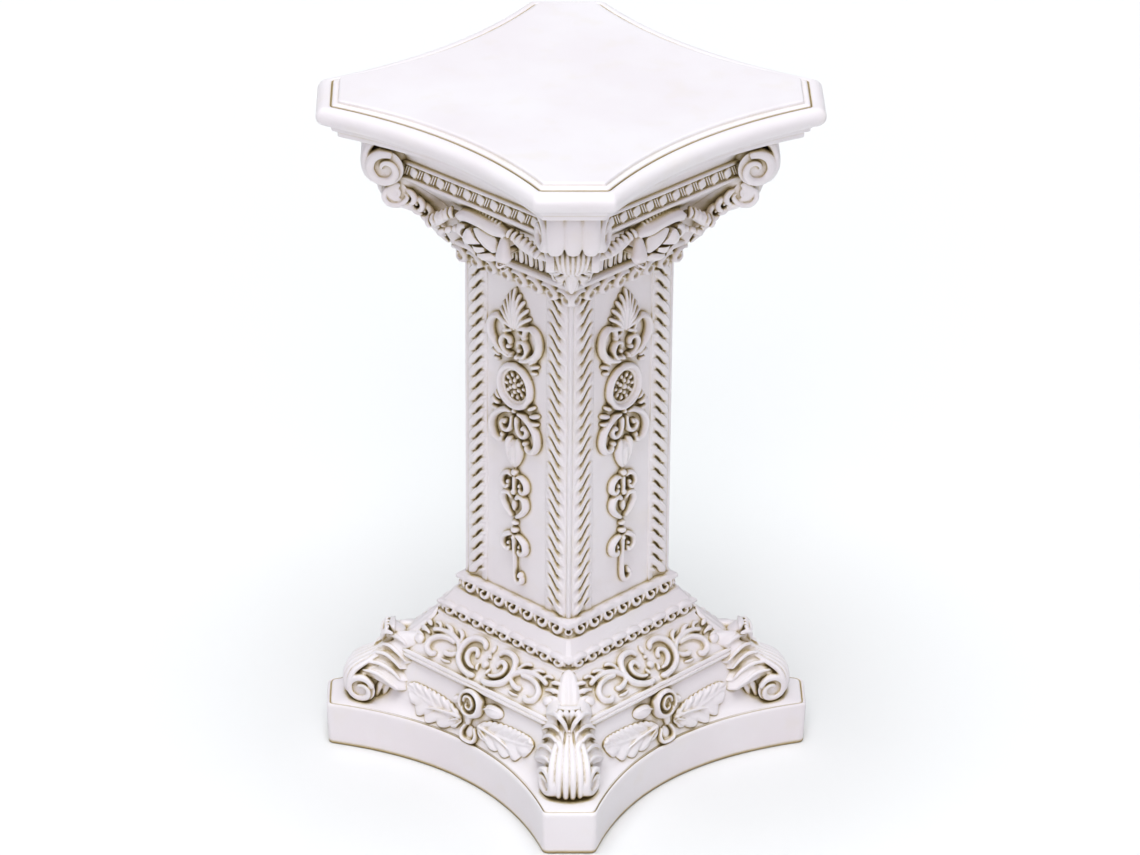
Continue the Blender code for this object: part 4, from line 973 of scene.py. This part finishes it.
def foot():
    """The acanthus bracket on a corner of the plinth: the half towards +X, past its middle."""
    clay = Clay()
    stem(clay, [(36, 158, 12), (41, 166, 13), (44.5, 172.5, 14.5), (49, 179, 15.5), (55, 182.5, 16), (61, 182.5, 16.6),
                (66, 180.4, 17), (70.5, 175.4, 17), (74.5, 168, 16), (78.5, 160.4, 14), (82, 155.2, 12),
                (86, 151.6, 10.4), (91, 149, 9.6), (96, 147, 8.6)], 100, 0.5)
    stem(clay, [(88, 144, 8), (96, 137, 8.5), (103, 129, 9), (109, 121.5, 8.6), (115, 114.5, 7), (118, 108, 5)], 88,
         0.5)
    # Flutes, gathered under the foot and drawn together at the waist
    facing = [(0, 0, -1), (0.3, 0, -1), (0.9, 0, -0.6), (1, 0, 0), (1, 0, 0), (1, 0, 0.3), (0.8, 0, 0.6), (0.6, 0, 0.9),
              (0.5, 0, 1), (0.6, 0, 0.9), (0.9, 0, 0.5), (1, 0, 0.1)]
    for w in (-14, -8.4, -2.8, 2.8, 8.4, 14):
        back, up = 0.018 * w * w, 0.010 * w * w
        limb(clay, [(172, 0.94 * w, 44.8), (179 - back, 0.98 * w, 42.6 + up), (185.2 - back, 1.02 * w, 43.8 + up),
                    (188.4 - back, 1.04 * w, 48.6 + 0.5 * up), (189 - back, 1.06 * w, 55.2),
                    (187.8 - back, 1.06 * w, 62), (184.2 - 0.9 * back, 1.04 * w, 68.2),
                    (177.6 - 0.8 * back, 0.98 * w, 73.2), (169.2 - 0.6 * back, 0.86 * w, 77.4),
                    (161.4 - 0.5 * back, 0.7 * w, 81.6), (154.6 - 0.4 * back, 0.5 * w, 88),
                    (148 - 0.3 * back, 0.4 * w, 96)], [2.4, 2.5, 2.6, 2.7, 2.85, 2.95, 2.95, 2.8, 2.5, 2.05, 1.6, 1.3],
             [3.2, 3.4, 3.4, 3.2, 3, 2.8, 2.6, 2.3, 2.1, 1.9, 1.8, 1.6], out=facing, step=1.1, count=16, power=2)

    # Spreading side of the leaf: lines of (w, z, r) from the flutes out to its lobes and notches
    slots = ((16.1, 74.4, 0.6, 0.8), (14.9, 82.4, 0.85, 0.53), (8, 93.4, 0.32, 0.95))

    def side(w, z, r):
        dip = sum(5.5 * np.exp(-(((w - a) * c + (z - b) * s) / 2.3) ** 4 - (((w - a) * s - (z - b) * c) / 0.8) ** 2)
                  for a, b, c, s in slots)
        return corner_point(np.where(r > 126, r - dip, r), w, z)

    leaf = [[(10, 60, 183.5), (15, 63, 175.5), (19.5, 62, 165), (23, 58.5, 155.5), (26.5, 54.5, 146.5)],
            [(9, 64, 183.5), (14.5, 68.4, 174.5), (20, 68.4, 163), (25, 63, 152.5), (28.7, 56.5, 143)],
            [(8.5, 66.5, 181), (14, 71, 168.4), (19, 71.5, 157.4), (23.2, 67.8, 148), (25.8, 62.2, 142.4)],
            [(8, 69.5, 181), (13, 75.4, 169.5), (18, 76.2, 159), (22.4, 71.8, 149), (25.9, 64.5, 141.4)],
            [(7, 74, 174.5), (11, 78.5, 163.4), (14.5, 79, 154.8), (16.8, 76.5, 149.4), (18.4, 72, 144.6)],
            [(6.5, 77.5, 172.5), (10.5, 83.4, 163), (14.8, 84.2, 155), (18.8, 80.4, 147.6), (22, 72.8, 140.6)],
            [(5.5, 81, 166), (9, 85.5, 157), (13, 86.4, 149.4), (17, 83, 143.6), (20.2, 76.5, 140)],
            [(5, 84.5, 163.5), (8, 90, 157.4), (13, 91.4, 151), (18, 88, 144.5), (22.7, 80, 136.2)],
            [(4, 88, 158), (7, 93.5, 151.6), (11.5, 95.5, 146), (16, 93.5, 140.6), (18.9, 88.5, 138.4)],
            [(3.5, 91.5, 155.5), (6.5, 97.5, 151), (11, 99.8, 146.6), (15.6, 98.5, 141), (19, 94.5, 135.5)],
            [(3, 95, 151), (6, 101, 145.6), (9.5, 103.2, 141), (13.5, 102.6, 137), (17, 100, 133)]]
    sheet(clay, side, leaf, 124, 0.7)
    for row in (1, 3, 5, 7, 9):
        limb(clay, [(r + 0.6, w, z) for w, z, r in leaf[row][1:]], [1.2, 1.7, 1.7, 1], [1.4, 1.8, 1.8, 1.2],
             out=(0.8, 0.5, 0.4), tips=(1, 1.5))
    # Tip: a cup that leans out, with a stalk round its fluted hollow
    stem(clay, [(86, 151, 6.4), (94, 151.6, 7.2), (100, 151.6, 8.8), (105, 152, 9.8), (107, 151.6, 9.6),
                (108.2, 150.4, 8.8)], 146.5, 0.4)
    limb(clay, [(152, 0, 104.4), (146, 0, 102.6), (137, 0, 96.6)], [9.2, 8.6, 7], [2.6, 3.4, 3], out=(0.5, 0, 1),
         count=24)
    limb(clay, [(154.6, 1.4, 86), (156.2, 2.6, 93), (156.8, 5.2, 98.6), (154.6, 9.2, 102.8), (148, 13.8, 103)],
         [1.3, 1.7, 2, 2.2, 1.3], [2, 2.4, 2.6, 2.4, 1.6],
         out=[(1, 0, 0.2), (1, 0.1, 0.2), (1, 0.2, 0.3), (0.8, 0.4, 0.8)], count=16)
    for w in (-5, -1.7, 1.7, 5):
        limb(clay, [(151.6, 0.3 * w, 88), (151.8, 0.7 * w, 94.5), (152.6, 1.15 * w, 100.4), (154, 1.5 * w, 104.8),
                    (151.6, 1.55 * w, 107.4)], [1.1, 1.5, 2, 2.6, 1.8], [2.4, 2.2, 2, 1.9, 1.4], count=16)
    # Upper leaf: a tongue that lies on the corner up to the lower band, with thin lobes at its sides
    limb(clay, [(139.4, 0, 93), (132.8, 0, 98.6), (125.4, 0, 105), (118.4, 0, 111), (112.8, 0, 116.6), (109.4, 0, 122)],
         [7.6, 9, 9.6, 8.8, 6.6, 3], [2.6, 3.6, 3.8, 3.6, 3, 2], out=(1, 0, 0.8), ribs=3, groove=0.2, count=52,
         tips=(0.6, 1.4))
    lobe = [2, 2.5, 1.4]
    for path, wide in (([(127.4, 6.6, 100.4), (125.2, 12, 102.4), (121.2, 17.4, 102.4)], lobe),
                       ([(122.4, 6.6, 105.4), (120.8, 12, 107.4), (117.8, 16.8, 107)], lobe),
                       ([(117.4, 5.6, 111), (116.4, 10.6, 112.4), (114.4, 14.6, 111)], [1.8, 2.2, 1.3])):
        limb(clay, path, wide, [2.6, 2.8, 1.8], out=(0.8, 0.3, 0.9), count=18, tips=(0.6, 1.2))
    # Volute on the flank, turned a little to the front
    middle, cant, front = (176.4, 52.6), 0.5, 186
    disc(clay, middle, [(0, 8.6), (9.6, 10.4), (12.2, 12), (13.4, 12.6), (13.8, 11.8)], cant, front)
    wound(clay, flank(13.4, cant, front), middle,
          [(165, 11.2, 2.2), (120, 10.6, 2.4), (75, 10.2, 2.6), (25, 9.9, 2.7), (-30, 9.8, 2.8), (-80, 9.4, 2.8),
           (-130, 8.4, 2.6), (-180, 6.7, 2.3), (-230, 4.9, 2), (-290, 3.3, 1.7), (-350, 2, 1.5)],
          [2.8, 3.6] + [4] * 7 + [3.8, 3.6])
    # Ribs along the flank behind the volute
    for shift in (0, 6.5):
        limb(clay, [(163 - shift, 15, 42), (161 - shift, 17.4, 52), (156 - shift, 17.8, 62), (149 - shift, 16, 70)],
             [1.8, 2.8, 3, 2], [1.6, 2.4, 2.4, 1.6], out=(0.1, 1, 0.1), count=14)
    stem(clay, [(33, 150, 9), (60, 150, 13), (80, 142, 12), (90, 138, 9)], 100, 0.5)
    return clay


# Assembly


# Corners of the copies in the same cell are welded: CELLS to a millimetre, HALF_SPAN to each side of the axis
CELLS = 2000
HALF_SPAN = 2 ** 20


def repeats(copies):
    """The ways in which a part is repeated round the column: (function, whether it mirrors).

    An eighth is mirrored and turned to all eight places, a bracket is mirrored at its own corner, a face is
    turned four times, and an alternate is mirrored on every second face, so that neighbours meet at the corner.
    """
    ways = []
    for quarter in range(4):
        if not (copies == "alternate" and quarter % 2):
            ways.append((lambda p, quarter=quarter: turned(p, quarter), False))
        if copies == "eighth" or (copies == "alternate" and quarter % 2):
            ways.append((lambda p, quarter=quarter: turned(across_middle(p), quarter), True))
        if copies == "bracket":
            ways.append((lambda p, quarter=quarter: turned(across_corner(p), quarter), True))
    return ways


def part(material, name, points, faces, copies):
    """Repeat the unique part of a piece, weld the copies where they meet, and make one object of them."""
    all_points, all_faces = [], []
    for count, (way, mirrors) in enumerate(repeats(copies)):
        all_points.append(way(points))
        all_faces.append((faces[:, ::-1] if mirrors else faces) + count * len(points))
    points, faces = np.concatenate(all_points), np.concatenate(all_faces)
    x, y, z = np.round(points * CELLS).astype(np.int64).T + HALF_SPAN
    keys = x * (2 * HALF_SPAN) ** 2 + y * (2 * HALF_SPAN) + z
    _, first, inverse = np.unique(keys, return_index=True, return_inverse=True)
    points, faces = points[first], inverse[faces]
    faces = faces[(faces[:, 0] != faces[:, 1]) & (faces[:, 1] != faces[:, 2]) & (faces[:, 2] != faces[:, 0])]
    mesh = bpy.data.meshes.new(name)
    mesh.vertices.add(len(points))
    mesh.vertices.foreach_set("co", (points * 0.001).astype(np.float32).ravel())
    mesh.loops.add(faces.size)
    mesh.polygons.add(len(faces))
    mesh.polygons.foreach_set("loop_start", np.arange(0, faces.size, 3, dtype=np.int32))
    mesh.loops.foreach_set("vertex_index", faces.astype(np.int32).ravel())
    mesh.update(calc_edges=True)
    mesh.validate()
    mesh.shade_smooth()
    mesh.set_sharp_from_angle(angle=CREASE)
    mesh.materials.append(material)
    made = bpy.data.objects.new(name, mesh)
    bpy.context.scene.collection.objects.link(made)
    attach(made, "root")
    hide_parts("pedestal")


# Material


def resin():
    """White cast resin with an ochre wash that stays in the hollows and is rubbed off what stands out. Shade is painted
    in too: tan in the big hollows, partly a stain, and near-black brown in the deepest crevices.
    """
    material = bpy.data.materials.new("resin")
    material.use_nodes = True
    tree = material.node_tree
    tree.nodes.clear()
    new, link = tree.nodes.new, tree.links.new
    out = new("ShaderNodeOutputMaterial")
    shader = new("ShaderNodeBsdfPrincipled")
    link(shader.outputs["BSDF"], out.inputs["Surface"])
    place = new("ShaderNodeTexCoord").outputs["Object"]

    def noise(scale, detail, rough=0.5):
        node = new("ShaderNodeTexNoise")
        node.inputs["Scale"].default_value = scale
        node.inputs["Detail"].default_value = detail
        node.inputs["Roughness"].default_value = rough
        link(place, node.inputs["Vector"])
        return node.outputs["Fac"]

    def math_node(operation, a, b=None, c=None):
        node = new("ShaderNodeMath")
        node.operation = operation
        for socket, value in zip(node.inputs, (a, b, c)):
            if isinstance(value, (int, float)):
                socket.default_value = value
            elif value is not None:
                link(value, socket)
        return node.outputs[0]

    def reach(value, low, high, to_low=0, to_high=1):
        node = new("ShaderNodeMapRange")
        node.interpolation_type = "SMOOTHSTEP"
        for label, number in (("From Min", low), ("From Max", high), ("To Min", to_low), ("To Max", to_high)):
            node.inputs[label].default_value = number
        link(value, node.inputs["Value"])
        return node.outputs["Result"]

    def mix(share, a, b):
        node = new("ShaderNodeMix")
        node.data_type = "RGBA"
        for socket, value in ((node.inputs[6], a), (node.inputs[7], b)):
            if isinstance(value, tuple):
                socket.default_value = (*value, 1)
            else:
                link(value, socket)
        link(share, node.inputs[0])
        return node.outputs[2]

    def shut_in(distance):
        """How far a place is shut in by what stands within distance of it."""
        node = new("ShaderNodeAmbientOcclusion")
        node.samples = 8
        node.inputs["Distance"].default_value = distance
        return math_node("SUBTRACT", 1, node.outputs["AO"])

    near, far, wide = shut_in(0.005), shut_in(0.018), shut_in(0.07)
    cloudy = noise(38, 4)
    grain = noise(420, 3, 0.6)
    patchy = noise(9, 3)
    depth = math_node("ADD", math_node("MULTIPLY", near, 1.35),
                      math_node("MULTIPLY", math_node("MULTIPLY", far, far), 1.25))
    uneven = math_node("ADD", math_node("MULTIPLY", cloudy, 0.5), math_node("MULTIPLY", grain, 0.22))
    wash = reach(math_node("ADD", depth, math_node("MULTIPLY_ADD", uneven, 0.5, -0.18)), 0.24, 0.8)
    # Painted shade: where the hollows are deepest the colour turns near-black brown
    painted_crevice_shade = reach(math_node("MULTIPLY_ADD", grain, 0.12, depth), 0.85, 1.4)
    white = mix(reach(patchy, 0.35, 0.7), (0.805, 0.755, 0.785), (0.84, 0.805, 0.832))
    stain_and_hollow_shade = mix(reach(cloudy, 0.5, 0.75, 0, 0.16), white, (0.76, 0.69, 0.58))
    # Big hollows, under the slab and round the bell, are tinted tan: partly ochre stain, partly painted shade
    stain_and_hollow_shade = mix(reach(wide, 0.52, 0.88, 0, 0.9), stain_and_hollow_shade, (0.66, 0.54, 0.37))
    ochre = mix(reach(grain, 0.3, 0.7), (0.44, 0.33, 0.13), (0.56, 0.45, 0.24))
    washed_and_shaded = mix(wash, stain_and_hollow_shade, ochre)
    # Painted shade: near-black brown in the deepest crevices
    colour = mix(painted_crevice_shade, washed_and_shaded, (0.12, 0.08, 0.022))
    link(colour, shader.inputs["Base Color"])
    link(reach(math_node("MULTIPLY_ADD", grain, 0.25, wash), 0, 1.2, 0.42, 0.72), shader.inputs["Roughness"])
    shader.inputs["Metallic"].default_value = 0
    shader.inputs["IOR"].default_value = 1.5
    bump = new("ShaderNodeBump")
    bump.inputs["Strength"].default_value = 0.25
    bump.inputs["Distance"].default_value = 0.0004
    link(math_node("ADD", grain, math_node("MULTIPLY", cloudy, 0.6)), bump.inputs["Height"])
    link(bump.outputs["Normal"], shader.inputs["Normal"])
    return material


# Camera, floor and light


def camera():
    """The camera that the photograph's edges give."""
    data = bpy.data.cameras.new("camera")
    made = bpy.data.objects.new("camera", data)
    bpy.context.scene.collection.objects.link(made)
    made.location = (2.6304038613, -2.7255103405, 2.1936)
    made.rotation_euler = [math.radians(a) for a in (63.3492597222, -0.4111301617, 44.1663195773)]
    data.sensor_width = 36
    data.lens = 159.63
    data.clip_start, data.clip_end = 0.05, 60
    bpy.context.scene.camera = made


def plain(name, material, points, faces):
    """A part of the stage, in metres."""
    made = placed(name, points, faces)
    made.data.materials.append(material)
    return made


def stage():
    """A plain white floor, and a white backdrop far round it that low views see and no light meets."""
    material = bpy.data.materials.new("floor")
    material.use_nodes = True
    shader = material.node_tree.nodes["Principled BSDF"]
    shader.inputs["Base Color"].default_value = (0.80, 0.80, 0.80, 1)
    shader.inputs["Roughness"].default_value = 0.9
    shader.inputs["Specular IOR Level"].default_value = 0.1
    reach = 14
    plain("floor", material, [(-reach, -reach, 0), (reach, -reach, 0), (reach, reach, 0), (-reach, reach, 0)],
          [(0, 1, 2, 3)])
    glow = bpy.data.materials.new("backdrop")
    glow.use_nodes = True
    tree = glow.node_tree
    tree.nodes.clear()
    light, out = tree.nodes.new("ShaderNodeEmission"), tree.nodes.new("ShaderNodeOutputMaterial")
    tree.links.new(light.outputs[0], out.inputs["Surface"])
    count, radius = 48, 13.5
    turn = np.linspace(0, 2 * math.pi, count, endpoint=False)
    points = [(radius * math.cos(a), radius * math.sin(a), z) for z in (-0.05, 8) for a in turn]
    faces = [(i, (i + 1) % count, count + (i + 1) % count, count + i) for i in range(count)]
    backdrop = plain("backdrop", glow, points, faces)
    backdrop.visible_diffuse = backdrop.visible_glossy = False
    backdrop.visible_transmission = backdrop.visible_shadow = False


def soft_light(name, azimuth, elevation, strength, spread, colour):
    """A wide, even light from far away: angles in degrees, strength as what a facing white shows."""
    data = bpy.data.lights.new(name, "SUN")
    data.energy = strength * math.pi
    data.angle = math.radians(spread)
    data.color = colour
    made = bpy.data.objects.new(name, data)
    bpy.context.scene.collection.objects.link(made)
    a, e = math.radians(azimuth), math.radians(elevation)
    towards = Vector((math.cos(a) * math.cos(e), math.sin(a) * math.cos(e), math.sin(e)))
    made.location = 4 * towards
    made.rotation_euler = (-towards).to_track_quat("-Z", "Y").to_euler()


def lights():
    world = bpy.data.worlds.new("world")
    bpy.context.scene.world = world
    world.use_nodes = True
    back = world.node_tree.nodes["Background"]
    back.inputs["Color"].default_value = (0.95, 0.96, 1, 1)
    back.inputs["Strength"].default_value = 0.2
    soft_light("key", -48, 34, 0.32, 38, (1, 0.935, 0.955))
    soft_light("top", -60, 83, 0.95, 50, (0.95, 0.985, 1))
    bpy.context.scene.view_settings.view_transform = "Standard"
    bpy.context.scene.view_settings.look = "None"


# The whole


def build(material):
    # Each piece's voxel size in mm, the triangles kept of its part, and how often it is softened
    part(material, "shaft", *fuse(shaft_body(), 0.5, 19500, 1, [MIDDLE_CUT, CORNER_CUT]), "eighth")
    part(material, "shaft_relief", *fuse(shaft_relief(), 0.42, 38000, 2), "face")
    part(material, "plinth", *plinth(), "eighth")
    part(material, "base", *fuse(base(), 0.45, 41000, 1, BOTH_CORNERS), "alternate")
    part(material, "leaf_sprays", *fuse(leaf_spray(), 0.45, 15000, 1), "alternate")
    part(material, "slab", *slab(), "eighth")
    part(material, "capital", *fuse(capital(), 0.45, 31000, 1, BOTH_CORNERS), "alternate")
    part(material, "consoles", *fuse(console(), 0.42, 21000, 1, [BRACKET_CUT]), "bracket")
    part(material, "roses", *fuse(rose(), 0.42, 16000, 1), "alternate")
    part(material, "feet", *fuse(foot(), 0.42, 19000, 1, [BRACKET_CUT]), "bracket")


camera()
lights()
stage()
build(resin())
